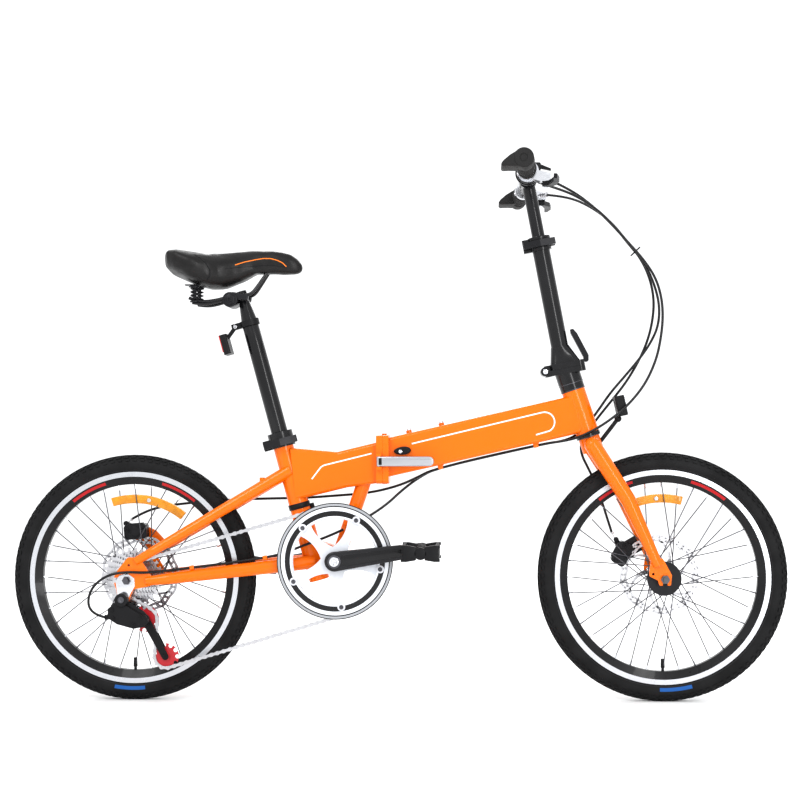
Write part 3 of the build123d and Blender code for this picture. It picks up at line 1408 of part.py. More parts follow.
front_brake_route = [
    (305.0, 94.0, 1006.0), (345.0, 72.0, 999.0), (388.0, 47.0, 976.0), (428.0, 26.0, 942.0),
    (459.0, 8.0, 899.0), (487.0, 7.0, 862.0), (504.0, 11.0, 822.0), (511.0, 16.0, 782.0),
    (508.0, 22.0, 742.0), (498.0, 27.0, 702.0), (480.0, 32.0, 662.0), (458.0, 36.5, 625.0),
    (434.0, 40.0, 594.0), (408.0, 44.0, 562.0), (384.0, 49.0, 531.0), (367.0, 52.0, 504.0),
    (368.0, 51.0, 480.0), (382.0, 50.0, 452.0), (397.0, 51.0, 420.0), (409.0, 53.0, 385.0),
    (419.0, 56.0, 352.0), (428.0, 58.5, 324.0),
]


def halfway(route, index):
    """The middle of the run that follows a point of the route."""
    return tuple((a + b) / 2 for a, b in zip(route[index], route[index + 1]))


def cut_route(route, *places):
    """The route in pieces, cut in the middle of the runs that follow the given points."""
    pieces = []
    start = []
    begin = 0
    for index in places:
        end = halfway(route, index)
        pieces.append(start + route[begin:index + 1] + [end])
        start = [end]
        begin = index + 1
    pieces.append(start + route[begin:])
    return pieces


rear_brake_pieces = cut_route(rear_brake_route, 9, 20)
gear_pieces = cut_route(gear_route, 9, 20)
front_brake_pieces = cut_route(front_brake_route, 9)

with BuildPart() as bar_cables:
    for route in (rear_brake_pieces[0], gear_pieces[0], front_brake_pieces[0]):
        add(cable(route, cable_radius))
keep(bar_cables, "bar_cables")

with BuildPart() as fork_cables:
    add(cable(front_brake_pieces[1], cable_radius))
keep(fork_cables, "fork_cables")

with BuildPart() as beam_cables:
    for route in (rear_brake_pieces[1], gear_pieces[1]):
        add(cable(route, cable_radius))
keep(beam_cables, "beam_cables")

with BuildPart() as rear_cables:
    for route in (rear_brake_pieces[2], gear_pieces[2]):
        add(cable(route, cable_radius))
keep(rear_cables, "rear_cables")
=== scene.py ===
from math import acos, atan2, cos, hypot, pi, radians, sin

import bpy
from mathutils import Matrix, Vector


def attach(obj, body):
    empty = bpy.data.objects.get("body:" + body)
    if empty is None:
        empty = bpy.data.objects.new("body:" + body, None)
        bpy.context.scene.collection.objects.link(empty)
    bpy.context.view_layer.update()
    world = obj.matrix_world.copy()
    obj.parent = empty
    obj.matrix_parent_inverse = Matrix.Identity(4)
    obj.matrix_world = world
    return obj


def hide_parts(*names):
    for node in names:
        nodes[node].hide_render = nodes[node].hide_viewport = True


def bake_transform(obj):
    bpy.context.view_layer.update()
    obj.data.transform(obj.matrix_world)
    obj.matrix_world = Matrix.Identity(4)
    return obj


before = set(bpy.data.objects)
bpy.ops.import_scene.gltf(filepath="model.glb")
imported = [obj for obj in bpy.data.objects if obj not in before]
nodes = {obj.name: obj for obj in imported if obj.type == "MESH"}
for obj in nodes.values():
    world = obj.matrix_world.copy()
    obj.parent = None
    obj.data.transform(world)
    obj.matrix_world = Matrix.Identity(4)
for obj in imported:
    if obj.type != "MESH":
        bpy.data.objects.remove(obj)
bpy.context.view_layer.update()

# A folding bicycle.  +X points forwards, +Y to the rider's left and +Z up; all sizes are in metres.
scene = bpy.context.scene
MM = 0.001

REAR_AXLE = Vector((-0.520, 0, 0.242))
FRONT_AXLE = Vector((0.520, 0, 0.242))
CRANK_AXLE = Vector((-0.1156, 0, 0.2777))
CHAIN_Y = -0.054
CHAIN_PITCH = 0.0127
COG_TEETH, RING_TEETH, PULLEY_TEETH = 14, 52, 11
GUIDE_PULLEY, TENSION_PULLEY = (-0.487, 0.165), (-0.448, 0.092)


# =====================  Finishes  =====================
def put(tree, kind, inputs=None, **settings):
    """Adds a shader node, with numbers or other nodes' outputs on its inputs."""
    made = tree.nodes.new(kind)
    for key, value in settings.items():
        setattr(made, key, value)
    for key, value in (inputs or {}).items():
        if isinstance(value, bpy.types.NodeSocket):
            tree.links.new(value, made.inputs[key])
        else:
            made.inputs[key].default_value = value
    return made


def maths(tree, operation, first, second=0.0):
    return put(tree, "ShaderNodeMath", {0: first, 1: second}, operation=operation).outputs[0]


def between(tree, value, low, high):
    """1 where a value lies from low to high, and 0 elsewhere."""
    above = maths(tree, "GREATER_THAN", value, low)
    return maths(tree, "MULTIPLY", above, maths(tree, "LESS_THAN", value, high))


def either(tree, first, second):
    return maths(tree, "MAXIMUM", first, second)


def both(tree, first, second):
    return maths(tree, "MULTIPLY", first, second)


def mixed(tree, share, first, second):
    """A colour between two colours."""
    made = tree.nodes.new("ShaderNodeMix")
    made.data_type = "RGBA"
    for index, value in ((0, share), (6, first), (7, second)):
        if isinstance(value, bpy.types.NodeSocket):
            tree.links.new(value, made.inputs[index])
        else:
            made.inputs[index].default_value = value if index == 0 else (*value, 1.0)[:4]
    return made.outputs[2]


def cloud(tree, scale, detail=3.0, stretch=(1, 1, 1)):
    """Soft random variation over a piece, from its own coordinates."""
    place = put(tree, "ShaderNodeTexCoord").outputs["Object"]
    place = put(tree, "ShaderNodeMapping", {"Vector": place, "Scale": stretch}).outputs[0]
    return put(tree, "ShaderNodeTexNoise",
               {"Vector": place, "Scale": scale, "Detail": detail}).outputs["Fac"]


def spread(tree, value, low, high):
    """Stretches a value from 0.3...0.7 to low...high."""
    return put(tree, "ShaderNodeMapRange", {"Value": value, "From Min": 0.3, "From Max": 0.7,
                                            "To Min": low, "To Max": high}).outputs[0]


def about(tree, centre):
    """Distance from an axle, angle round it and place across the bicycle."""
    place = put(tree, "ShaderNodeTexCoord").outputs["Object"]
    shifted = put(tree, "ShaderNodeMapping", {"Vector": place, "Location": -Vector(centre)}).outputs[0]
    parts = put(tree, "ShaderNodeSeparateXYZ", {0: shifted}).outputs
    flat = put(tree, "ShaderNodeCombineXYZ", {0: parts[0], 2: parts[2]}).outputs[0]
    reach = put(tree, "ShaderNodeVectorMath", {0: flat}, operation="LENGTH").outputs["Value"]
    angle = maths(tree, "ARCTAN2", parts[2], parts[0])
    return reach, angle, parts[1]


def finish(name, colour, roughness, metallic=0.0, coat=0.0, tone=0.15, tone_scale=9.0, gloss_spread=0.06,
           gloss_scale=60.0, grain=0.0, grain_scale=1500.0, stretch=(1, 1, 1), specular=0.5):
    """A painted, plated or moulded surface with uneven tone, uneven gloss and a fine grain."""
    material = bpy.data.materials.new(name)
    material.use_nodes = True
    tree = material.node_tree
    shader = tree.nodes["Principled BSDF"]
    shader.inputs["Metallic"].default_value = metallic
    shader.inputs["Coat Weight"].default_value = coat
    shader.inputs["Coat Roughness"].default_value = 0.04
    shader.inputs["Specular IOR Level"].default_value = specular
    dark = tuple(channel * (1 - tone) for channel in colour)
    light = tuple(min(1.0, channel * (1 + tone)) for channel in colour)
    tree.links.new(mixed(tree, spread(tree, cloud(tree, tone_scale), 0.0, 1.0), dark, light),
                   shader.inputs["Base Color"])
    uneven = spread(tree, cloud(tree, gloss_scale, 4.0, stretch), roughness - gloss_spread,
                    roughness + gloss_spread)
    tree.links.new(uneven, shader.inputs["Roughness"])
    if grain:
        height = cloud(tree, grain_scale, 2.0, stretch)
        bump = put(tree, "ShaderNodeBump", {"Height": height, "Strength": grain, "Distance": 0.0002})
        tree.links.new(bump.outputs[0], shader.inputs["Normal"])
    return material


def base_of(material):
    """The material's tree, its shader, and the colour that feeds the shader."""
    tree = material.node_tree
    shader = tree.nodes["Principled BSDF"]
    return tree, shader, shader.inputs["Base Color"].links[0].from_socket


def recolour(material, *layers):
    """Lays further colours over a material, each given by a mask and a colour."""
    tree, shader, colour = base_of(material)
    for mask, over in layers:
        colour = mixed(tree, mask, colour, over)
    tree.links.new(colour, shader.inputs["Base Color"])
    return material


ORANGE = (0.80, 0.150, 0.0)
BLACK = (0.012, 0.012, 0.014)
WHITE = (0.60, 0.62, 0.66)
orange_paint = finish("orange_gloss_paint", ORANGE, 0.2, coat=0.2, specular=0.25, tone=0.05, tone_scale=4,
                      grain=0.02,
                      grain_scale=260)
black_paint = finish("black_gloss_coat", (0.008, 0.008, 0.009), 0.22, coat=0.25, tone=0.3, grain=0.02,
                     grain_scale=300,
                     specular=0.25)
black_anodised = finish("black_anodised_metal", (0.014, 0.014, 0.016), 0.34, 0.3, tone=0.25,
                        grain=0.1, specular=0.3)
alloy = finish("polished_alloy", (0.66, 0.67, 0.70), 0.22, 1.0, tone=0.08, gloss_spread=0.08, grain=0.05,
               grain_scale=400, stretch=(1, 1, 12))
steel = finish("bright_steel", (0.52, 0.52, 0.54), 0.28, 1.0, tone=0.12, gloss_spread=0.1, grain=0.08)
dark_steel = finish("dark_steel", (0.10, 0.10, 0.11), 0.34, 1.0, tone=0.2)
resin = finish("black_moulded_resin", (0.010, 0.010, 0.011), 0.42, tone=0.25, grain=0.25,
               grain_scale=2200, specular=0.2)
grip_rubber = finish("grip_rubber", (0.020, 0.0195, 0.0195), 0.6, tone=0.2, grain=0.5,
                     grain_scale=1800, specular=0.2)
white_line = finish("white_pinstripe_enamel", (0.82, 0.84, 0.88), 0.3, coat=0.4, tone=0.03)
hose = finish("cable_housing", (0.009, 0.009, 0.010), 0.3, coat=0.15, tone=0.2, grain=0.1, specular=0.25)
red_resin = finish("red_pulley_resin", (0.42, 0.012, 0.02), 0.4, tone=0.15, grain=0.2)
amber_lens = finish("amber_lens", (0.60, 0.235, 0.006), 0.2, coat=0.3, tone=0.25,
                    tone_scale=60, specular=0.4)
red_lens = finish("red_lens", (0.5, 0.008, 0.01), 0.15, coat=0.8, tone=0.15, tone_scale=60)
clear_lens = finish("clear_lens", (0.62, 0.64, 0.67), 0.12, coat=0.9, tone=0.12, tone_scale=80)
WHITE_COAT = finish("white_coated_alloy", (0.62, 0.63, 0.67), 0.28, coat=0.4, tone=0.04, grain=0.05)
BRUSHED = finish("brushed_aluminium", (0.46, 0.47, 0.50), 0.34, 1.0, tone=0.10, gloss_spread=0.12,
                 gloss_scale=160,
                 grain=0.35, grain_scale=500, stretch=(0.06, 1, 5))
for lens in (amber_lens, red_lens, clear_lens):
    tree, shader, colour = base_of(lens)
    place = put(tree, "ShaderNodeTexCoord").outputs["Object"]
    prisms = put(tree, "ShaderNodeTexVoronoi", {"Vector": place, "Scale": 420.0},
                 distance="CHEBYCHEV").outputs[0]
    bump = put(tree, "ShaderNodeBump", {"Height": prisms, "Strength": 0.6, "Distance": 0.0006})
    tree.links.new(bump.outputs[0], shader.inputs["Normal"])


def rim_finish(name, centre):
    """A bright brake band, a black well and a red stripe on each side of the top."""
    material = finish(name, (0.010, 0.010, 0.011), 0.3, coat=0.15, tone=0.2, specular=0.2)
    tree, shader, colour = base_of(material)
    reach, angle, across = about(tree, centre)
    band = between(tree, reach, 0.1992, 0.215)
    stripes = None
    for middle in (118, 62):
        sector = between(tree, angle, radians(middle - 11), radians(middle + 11))
        stripes = sector if stripes is None else either(tree, stripes, sector)
    stripes = both(tree, stripes, between(tree, reach, 0.1905, 0.1962))
    recolour(material, (stripes, (0.42, 0.012, 0.016)), (band, (0.58, 0.59, 0.62)))
    tree.links.new(band, shader.inputs["Metallic"])
    return material


def tyre_finish(name, centre, first, last):
    """Black rubber, unevenly toned as if dusty, with a plain blue patch near the bottom."""
    material = finish(name, (0.0125, 0.0125, 0.013), 0.62, tone=0.3, tone_scale=30, grain=0.35,
                      grain_scale=900, specular=0.15)
    tree, shader, colour = base_of(material)
    reach, angle, across = about(tree, centre)
    patch = both(tree, between(tree, angle, radians(first), radians(last)),
                 between(tree, reach, 0.2145, 0.2215))
    ring = between(tree, reach, 0.2118, 0.2126)
    recolour(material, (patch, (0.02, 0.10, 0.32)), (ring, (0.03, 0.03, 0.032)))
    return material


def guard_finish():
    """The chain guard's concentric bands, bright and black."""
    material = finish("chain_guard_bands", (0.010, 0.010, 0.011), 0.22, coat=0.2, tone=0.1, specular=0.25)
    tree, shader, colour = base_of(material)
    reach, angle, across = about(tree, CRANK_AXLE)
    grey = between(tree, reach, 0.1070, 0.1112)
    white = either(tree, between(tree, reach, 0.0975, 0.1048), between(tree, reach, 0.08, 0.0875))
    recolour(material, (grey, (0.34, 0.35, 0.37)), (white, (0.72, 0.74, 0.78)))
    return material


def crank_finish():
    """Gloss black arms, with the white spider inside them."""
    material = finish("crank_black_and_white", BLACK, 0.26, coat=0.2, tone=0.2, specular=0.25)
    tree, shader, colour = base_of(material)
    reach, angle, across = about(tree, CRANK_AXLE)
    spider = both(tree, between(tree, across, -0.0625, -0.050), between(tree, reach, 0.018, 0.2))
    recolour(material, (spider, WHITE))
    return material


def saddle_finish():
    """Fine-grained leather cloth."""
    material = finish("saddle_cover", (0.010, 0.0095, 0.0095), 0.36, tone=0.25, tone_scale=40,
                      gloss_spread=0.1,
                      specular=0.28)
    tree = material.node_tree
    place = put(tree, "ShaderNodeTexCoord").outputs["Object"]
    cells = put(tree, "ShaderNodeTexVoronoi", {"Vector": place, "Scale": 620.0}).outputs[0]
    bump = put(tree, "ShaderNodeBump", {"Height": cells, "Strength": 0.25, "Distance": 0.0004})
    tree.links.new(bump.outputs[0], tree.nodes["Principled BSDF"].inputs["Normal"])
    return material


saddle_orange = finish("saddle_orange_piping", (0.80, 0.20, 0.01), 0.4, tone=0.08, grain=0.2)
tyre_black = {"front": tyre_finish("front_tyre_rubber", FRONT_AXLE, -92, -75.5),
              "rear": tyre_finish("rear_tyre_rubber", REAR_AXLE, -100, -84)}
cad_finishes = {
    orange_paint: ("seat_tube", "rear_beam", "bb_shell", "chain_stays", "seat_stays", "rear_hinge",
                   "front_beam",
                   "head_tube", "fork"),
    black_paint: ("seatpost", "outer_post", "inner_post", "handlebar", "headset", "seat_clamp", "stem_base",
                  "saddle_clamp"),
    black_anodised: ("front_hub", "rear_hub", "rear_caliper", "front_caliper", "front_caliper_arm",
                     "rear_caliper_arm", "derailleur", "seat_lever", "stem_latch", "post_clamp_lever"),
    alloy: ("lever_perches",),
    steel: ("chain", "freewheel", "front_rotor", "rear_rotor", "bottom_bracket_cups"),
    dark_steel: ("front_spokes", "rear_spokes", "front_axle", "rear_axle"),
    resin: ("latch_catch", "right_pedal", "left_pedal", "shift_lever", "left_brake_lever",
            "right_brake_lever", "front_reflector",
            "rear_reflector", "saddle"),
    red_resin: ("guide_pulley", "tension_pulley"),
    grip_rubber: ("grips",),
    hose: ("bar_cables", "fork_cables", "beam_cables", "rear_cables"),
    tyre_black["front"]: ("front_tyre",),
    tyre_black["rear"]: ("rear_tyre",),
    rim_finish("front_rim_bands", FRONT_AXLE): ("front_rim",),
    rim_finish("rear_rim_bands", REAR_AXLE): ("rear_rim",),
    guard_finish(): ("chainring",),
    crank_finish(): ("crankset",),
}
for material, names in cad_finishes.items():
    for name in names:
        nodes[name].data.materials.clear()
        nodes[name].data.materials.append(material)
        for face in nodes[name].data.polygons:
            face.material_index = 0


# =====================  Ways of making a piece  =====================
def deselect_all():
    if bpy.context.mode != "OBJECT":
        bpy.ops.object.mode_set(mode="OBJECT")
    bpy.ops.object.select_all(action="DESELECT")


def only(piece):
    deselect_all()
    piece.select_set(True)
    bpy.context.view_layer.objects.active = piece
    return piece


def made():
    """The primitive that was just added, with its place written into its mesh."""
    piece = bpy.context.object
    only(piece)
    bpy.ops.object.transform_apply(location=True, rotation=True, scale=True)
    return piece


def apply_modifier(piece, kind, **settings):
    only(piece)
    modifier = piece.modifiers.new(kind.lower(), kind)
    for key, value in settings.items():
        setattr(modifier, key, value)
    bpy.ops.object.modifier_apply(modifier=modifier.name)
    return piece


def rounded(piece, width, segments=2, angle=35):
    return apply_modifier(piece, "BEVEL", width=width, segments=segments, limit_method="ANGLE",
                          angle_limit=radians(angle))


def outwards(piece):
    """Merges a mesh's doubles and turns its faces outwards."""
    only(piece)
    bpy.ops.object.mode_set(mode="EDIT")
    bpy.ops.mesh.select_all(action="SELECT")
    bpy.ops.mesh.remove_doubles(threshold=0.00001)
    bpy.ops.mesh.normals_make_consistent(inside=False)
    bpy.ops.object.mode_set(mode="OBJECT")
    return piece


def bar(start, end, radius, sides=24, end_radius=None):
    """A round bar, or a cone if it has an end radius."""
    start, end = Vector(start), Vector(end)
    deselect_all()
    bpy.ops.mesh.primitive_cone_add(vertices=sides, radius1=radius,
                                    radius2=radius if end_radius is None else end_radius,
                                    depth=(end - start).length, location=(start + end) / 2,
                                    rotation=(end - start).to_track_quat("Z", "Y").to_euler())
    return made()


def ring_on(start, end, radius, wall):
    """A short tube with open ends, a wall thick."""
    start, end = Vector(start), Vector(end)
    deselect_all()
    bpy.ops.mesh.primitive_cylinder_add(vertices=64, radius=radius, depth=(end - start).length,
                                        end_fill_type="NOTHING", location=(start + end) / 2,
                                        rotation=(end - start).to_track_quat("Z", "Y").to_euler())
    piece = apply_modifier(made(), "SOLIDIFY", thickness=wall, offset=-1)
    return rounded(piece, min(wall, (end - start).length) * 0.2, 2, 50)


def block(centre, size, turn=(0, 0, 0)):
    deselect_all()
    bpy.ops.mesh.primitive_cube_add(size=1, location=centre, rotation=turn, scale=size)
    return made()


def slab(outline, y_low, y_high):
    """A plate: a disc whose corners are moved to an outline in x and z, then extruded across the bicycle."""
    deselect_all()
    bpy.ops.mesh.primitive_circle_add(vertices=len(outline), radius=1, fill_type="NGON")
    piece = made()
    for vertex, (x, z) in zip(piece.data.vertices, outline):
        vertex.co = (x, y_low, z)
    only(piece)
    bpy.ops.object.mode_set(mode="EDIT")
    bpy.ops.mesh.select_all(action="SELECT")
    bpy.ops.mesh.extrude_region_move(TRANSFORM_OT_translate={"value": (0, y_high - y_low, 0)})
    return outwards(piece)


def lathe(profile, centre, steps=96):
    """A closed section of (y, radius) points spun round an axle that lies across the bicycle."""
    deselect_all()
    bpy.ops.mesh.primitive_circle_add(vertices=len(profile), radius=1, fill_type="NOTHING")
    piece = made()
    for vertex, (y, reach) in zip(piece.data.vertices, profile):
        vertex.co = (centre[0], centre[1] + y, centre[2] + reach)
    only(piece)
    bpy.ops.object.mode_set(mode="EDIT")
    bpy.ops.mesh.select_all(action="SELECT")
    bpy.ops.mesh.spin(steps=steps, angle=2 * pi, center=centre, axis=(0, 1, 0))
    return outwards(piece)


def copy_of(piece, matrix):
    twin = piece.copy()
    twin.data = piece.data.copy()
    scene.collection.objects.link(twin)
    twin.data.transform(matrix)
    return twin


def join(parts):
    deselect_all()
    for part in parts:
        part.select_set(True)
    bpy.context.view_layer.objects.active = parts[0]
    bpy.ops.object.join()
    return parts[0]


def turned(centre, angle, axis="Y"):
    there, back = Matrix.Translation(centre), Matrix.Translation(-Vector(centre))
    return there @ Matrix.Rotation(angle, 4, axis) @ back


def all_round(piece, centre, count, axis="Y"):
    """Joins evenly spaced copies round an axle to a piece."""
    copies = [copy_of(piece, turned(centre, 2 * pi * step / count, axis)) for step in range(1, count)]
    return join([piece] + copies)


def dress(piece, name, material, body, stands_for=(), smooth=40):
    """Names a finished piece, gives it its finish and lets it ride on its body."""
    only(piece)
    bpy.ops.object.shade_smooth_by_angle(angle=radians(smooth))
    piece.name = name
    piece.data.materials.clear()
    piece.data.materials.append(material)
    if body:
        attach(piece, body)
    if stands_for:
        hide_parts(*stands_for)
    return piece


def leaning(angle):
    """The direction that leans back from upright by an angle."""
    return Vector((-sin(radians(angle)), 0, cos(radians(angle))))


def wire(points, radius, name="wire", roundness=3, fineness=8):
    """A smooth round wire along a few points."""
    deselect_all()
    curve = bpy.data.curves.new(name, "CURVE")
    curve.dimensions = "3D"
    curve.bevel_depth = radius
    curve.bevel_resolution = roundness
    curve.resolution_u = fineness
    curve.use_fill_caps = True
    line = curve.splines.new("NURBS")
    line.points.add(len(points) - 1)
    for control, point in zip(line.points, points):
        control.co = (*point, 1.0)
    line.order_u = 3
    line.use_endpoint_u = True
    piece = bpy.data.objects.new(name, curve)
    scene.collection.objects.link(piece)
    only(piece)
    bpy.ops.object.convert(target="MESH")
    return bpy.context.object


def pocket(piece, direction, margin, depth):
    """Insets the faces that look along a direction, and sinks them."""
    only(piece)
    bpy.ops.object.mode_set(mode="EDIT")
    bpy.ops.mesh.select_all(action="DESELECT")
    bpy.ops.object.mode_set(mode="OBJECT")
    for face in piece.data.polygons:
        face.select = face.normal.dot(direction) > 0.99
    bpy.ops.object.mode_set(mode="EDIT")
    bpy.ops.mesh.select_mode(type="FACE")
    bpy.ops.mesh.inset(thickness=margin)
    bpy.ops.mesh.inset(thickness=margin * 0.15)
    bpy.ops.transform.translate(value=-Vector(direction) * depth)
    bpy.ops.mesh.select_mode(type="VERT")
    bpy.ops.object.mode_set(mode="OBJECT")
    return piece


def socket_bolt(place, along, radius, height, hole=0.5):
    """A round bolt head with its socket, standing on a place and looking along a direction."""
    along = Vector(along).normalized()
    head = bar(place, Vector(place) + along * height, radius, 18)
    pocket(head, along, radius * hole, height * 0.6)
    return rounded(head, radius * 0.12, 2, 50)


def hull(circles, y_low, y_high, steps=10):
    """A plate round two circles, given as (x, z, radius)."""
    (x1, z1, r1), (x2, z2, r2) = circles
    heading = atan2(z2 - z1, x2 - x1)
    spread_angle = acos((r1 - r2) / hypot(x2 - x1, z2 - z1))
    outline = []
    for x, z, r, first, last in ((x2, z2, r2, -spread_angle, spread_angle),
                                 (x1, z1, r1, spread_angle, 2 * pi - spread_angle)):
        for step in range(steps + 1):
            angle = heading + first + (last - first) * step / steps
            outline.append((x + r * cos(angle), z + r * sin(angle)))
    return slab(outline, y_low, y_high)


# =====================  Wheels  =====================
TYRE_MIDDLE, TYRE_SECTION = 0.2225, 0.0182
KNOBS_ROUND = 96
# Each row of knobs: its lean from the tyre's top, length, width, height, and its turn as a share of a step.
TREAD_ROWS = [
    (-10, 0.0105, 0.0055, 0.0026, 0.0), (10, 0.0105, 0.0055, 0.0026, 0.5),
    (34, 0.0095, 0.0060, 0.0026, 0.0), (-34, 0.0095, 0.0060, 0.0026, 0.5),
    (58, 0.0070, 0.0050, 0.0024, 0.25), (-58, 0.0070, 0.0050, 0.0024, 0.75)]


def wheel_trim(which, axle, body):
    """A tyre with its treads, an amber reflector, a valve and the spoke nipples."""
    deselect_all()
    bpy.ops.mesh.primitive_torus_add(location=axle, rotation=(pi / 2, 0, 0), major_radius=TYRE_MIDDLE,
                                     minor_radius=TYRE_SECTION, major_segments=120, minor_segments=24)
    casing = made()
    rows = []
    for lean, length, width, height, turn in TREAD_ROWS:
        knob = block((0, 0, 0), (length, width, height))
        knob.data.transform(Matrix.Translation((0, 0, 0.0185)))
        knob.data.transform(Matrix.Rotation(radians(lean), 4, "X"))
        knob.data.transform(Matrix.Translation(axle + Vector((0, 0, TYRE_MIDDLE))))
        knob.data.transform(turned(axle, 2 * pi * turn / KNOBS_ROUND))
        rows.append(all_round(knob, axle, KNOBS_ROUND))
    tyre = join([casing] + rows)
    dress(tyre, which + "_tyre_with_treads", tyre_black[which], body, [which + "_tyre"])

    first, last = (107, 51) if which == "rear" else (113, 75)
    inner, outer = (0.146, 0.1635) if which == "rear" else (0.1445, 0.1615)
    arc = [radians(first + (last - first) * step / 14) for step in range(15)]
    outline = [(axle.x + outer * cos(a), axle.z + outer * sin(a)) for a in arc]
    outline += [(axle.x + inner * cos(a), axle.z + inner * sin(a)) for a in reversed(arc)]
    reflector = rounded(slab(outline, -0.0055, 0.0055), 0.0018)
    dress(reflector, which + "_wheel_reflector", amber_lens, body)
    middle = radians((first + last) / 2)
    spot = axle + Vector((cos(middle), 0, sin(middle))) * (inner + outer) / 2
    bolt = rounded(bar(spot + Vector((0, -0.0085, 0)), spot + Vector((0, 0.0085, 0)), 0.0042, 16), 0.001)
    dress(bolt, which + "_reflector_bolt", steel, body)

    cap_low, cap_high = axle + Vector((0, 0, -0.178)), axle + Vector((0, 0, -0.160))
    stem = join([bar(axle + Vector((0, 0, -0.186)), axle + Vector((0, 0, -0.172)), 0.0028, 16),
                 rounded(bar(cap_low, cap_high, 0.0042, 16, 0.0036), 0.001)])
    dress(stem, which + "_valve_cap", resin, body)

    nipple = bar(axle + Vector((0, 0.0025, 0.1755)), axle + Vector((0, 0.0025, 0.1845)), 0.0019, 8)
    pair = join([nipple, copy_of(nipple, turned(axle, radians(10)) @ Matrix.Translation((0, -0.005, 0)))])
    dress(all_round(pair, axle, 18), which + "_spoke_nipples", alloy, body)


wheel_trim("front", FRONT_AXLE, "front_wheel")
wheel_trim("rear", REAR_AXLE, "rear_wheel")


# =====================  Chain  =====================
def pitch_radius(teeth):
    return CHAIN_PITCH / 2 / sin(pi / teeth)


def chain_path():
    """Points a half link apart round the chain's loop, with the direction at each."""
    wheels = [((REAR_AXLE.x, REAR_AXLE.z), pitch_radius(COG_TEETH), -1),
              ((CRANK_AXLE.x, CRANK_AXLE.z), pitch_radius(RING_TEETH), -1),
              (TENSION_PULLEY, pitch_radius(PULLEY_TEETH), -1), (GUIDE_PULLEY, pitch_radius(PULLEY_TEETH), 1)]
    runs = []
    for index in range(4):
        (x1, z1), r1, s1 = wheels[index]
        (x2, z2), r2, s2 = wheels[(index + 1) % 4]
        normal = atan2(z2 - z1, x2 - x1) + acos((s2 * r2 - s1 * r1) / hypot(x2 - x1, z2 - z1))
        runs.append(((x1 - s1 * r1 * cos(normal), z1 - s1 * r1 * sin(normal)),
                     (x2 - s2 * r2 * cos(normal), z2 - s2 * r2 * sin(normal))))
    fine = []
    for index in range(4):
        centre, radius, sense = wheels[index]
        arrive, leave = runs[index - 1][1], runs[index][0]
        a_in = atan2(arrive[1] - centre[1], arrive[0] - centre[0])
        swing = (sense * (atan2(leave[1] - centre[1], leave[0] - centre[0]) - a_in)) % (2 * pi)
        steps = max(4, int(radius * swing / 0.002))
        for step in range(steps):
            angle = a_in + sense * swing * step / steps
            fine.append(Vector((centre[0] + radius * cos(angle), CHAIN_Y, centre[1] + radius * sin(angle))))
        begin = Vector((leave[0], CHAIN_Y, leave[1]))
        end = Vector((runs[index][1][0], CHAIN_Y, runs[index][1][1]))
        steps = max(2, int((end - begin).length / 0.002))
        fine += [begin.lerp(end, step / steps) for step in range(steps)]
    return fine + [fine[0]]


def along(points, spacing):
    """Points evenly spaced along a closed line, as near to a spacing as an even count allows."""
    lengths = [0.0]
    for before, here in zip(points, points[1:]):
        lengths.append(lengths[-1] + (here - before).length)
    count = 2 * round(lengths[-1] / spacing / 2)
    found, index = [], 0
    for step in range(count):
        wanted = lengths[-1] * step / count
        while lengths[index + 1] < wanted:
            index += 1
        share = (wanted - lengths[index]) / (lengths[index + 1] - lengths[index])
        found.append(points[index].lerp(points[index + 1], share))
    return found


def link(plate_low, plate_high, roller):
    """One link: two waisted plates and the two pins or rollers between them."""
    outline = []
    for end, first in ((1, -70), (-1, 110)):
        for step in range(5):
            angle = radians(first + 35 * step)
            outline.append((CHAIN_PITCH / 2 * end + 0.0042 * cos(angle), 0.0042 * sin(angle)))
        outline.append((0, 0.0024 * end))
    parts = []
    for side in (-1, 1):
        low, high = sorted((side * plate_low, side * plate_high))
        parts.append(slab(outline, low, high))
    for end in (-1, 1):
        reach = plate_high + 0.0006 if roller < 0.003 else plate_low
        parts.append(bar((CHAIN_PITCH / 2 * end, -reach, 0), (CHAIN_PITCH / 2 * end, reach, 0), roller, 8))
    return join(parts)


pins = along(chain_path(), CHAIN_PITCH)
patterns = [link(0.0024, 0.0033, 0.0018), link(0.0013, 0.0022, 0.0038)]
links = []
for index, here in enumerate(pins):
    following = pins[(index + 1) % len(pins)]
    heading = following - here
    turn = Matrix.Rotation(-atan2(heading.z, heading.x), 4, "Y")
    links.append(copy_of(patterns[index % 2], Matrix.Translation((here + following) / 2) @ turn))
for pattern in patterns:
    bpy.data.objects.remove(pattern)
dress(join(links), "chain_links", steel, "rear_frame", ["chain"])


# =====================  Cables  =====================
BEAM_LEAN = 12.6
BEAM_SLOPE = radians(BEAM_LEAN)
BEAM_HEIGHT_AT_ZERO = 480.5          # the beam's centre line over the origin, in millimetres
BEAM_HALF = 37.5
CABLE_DROP = BEAM_HALF + 4.5         # from the beam's centre line to a cable under it


def under_beam(x, y):
    """A point on a cable's line under the front beam, in millimetres."""
    return (x, y, BEAM_HEIGHT_AT_ZERO + (x * sin(BEAM_SLOPE) - CABLE_DROP) / cos(BEAM_SLOPE))


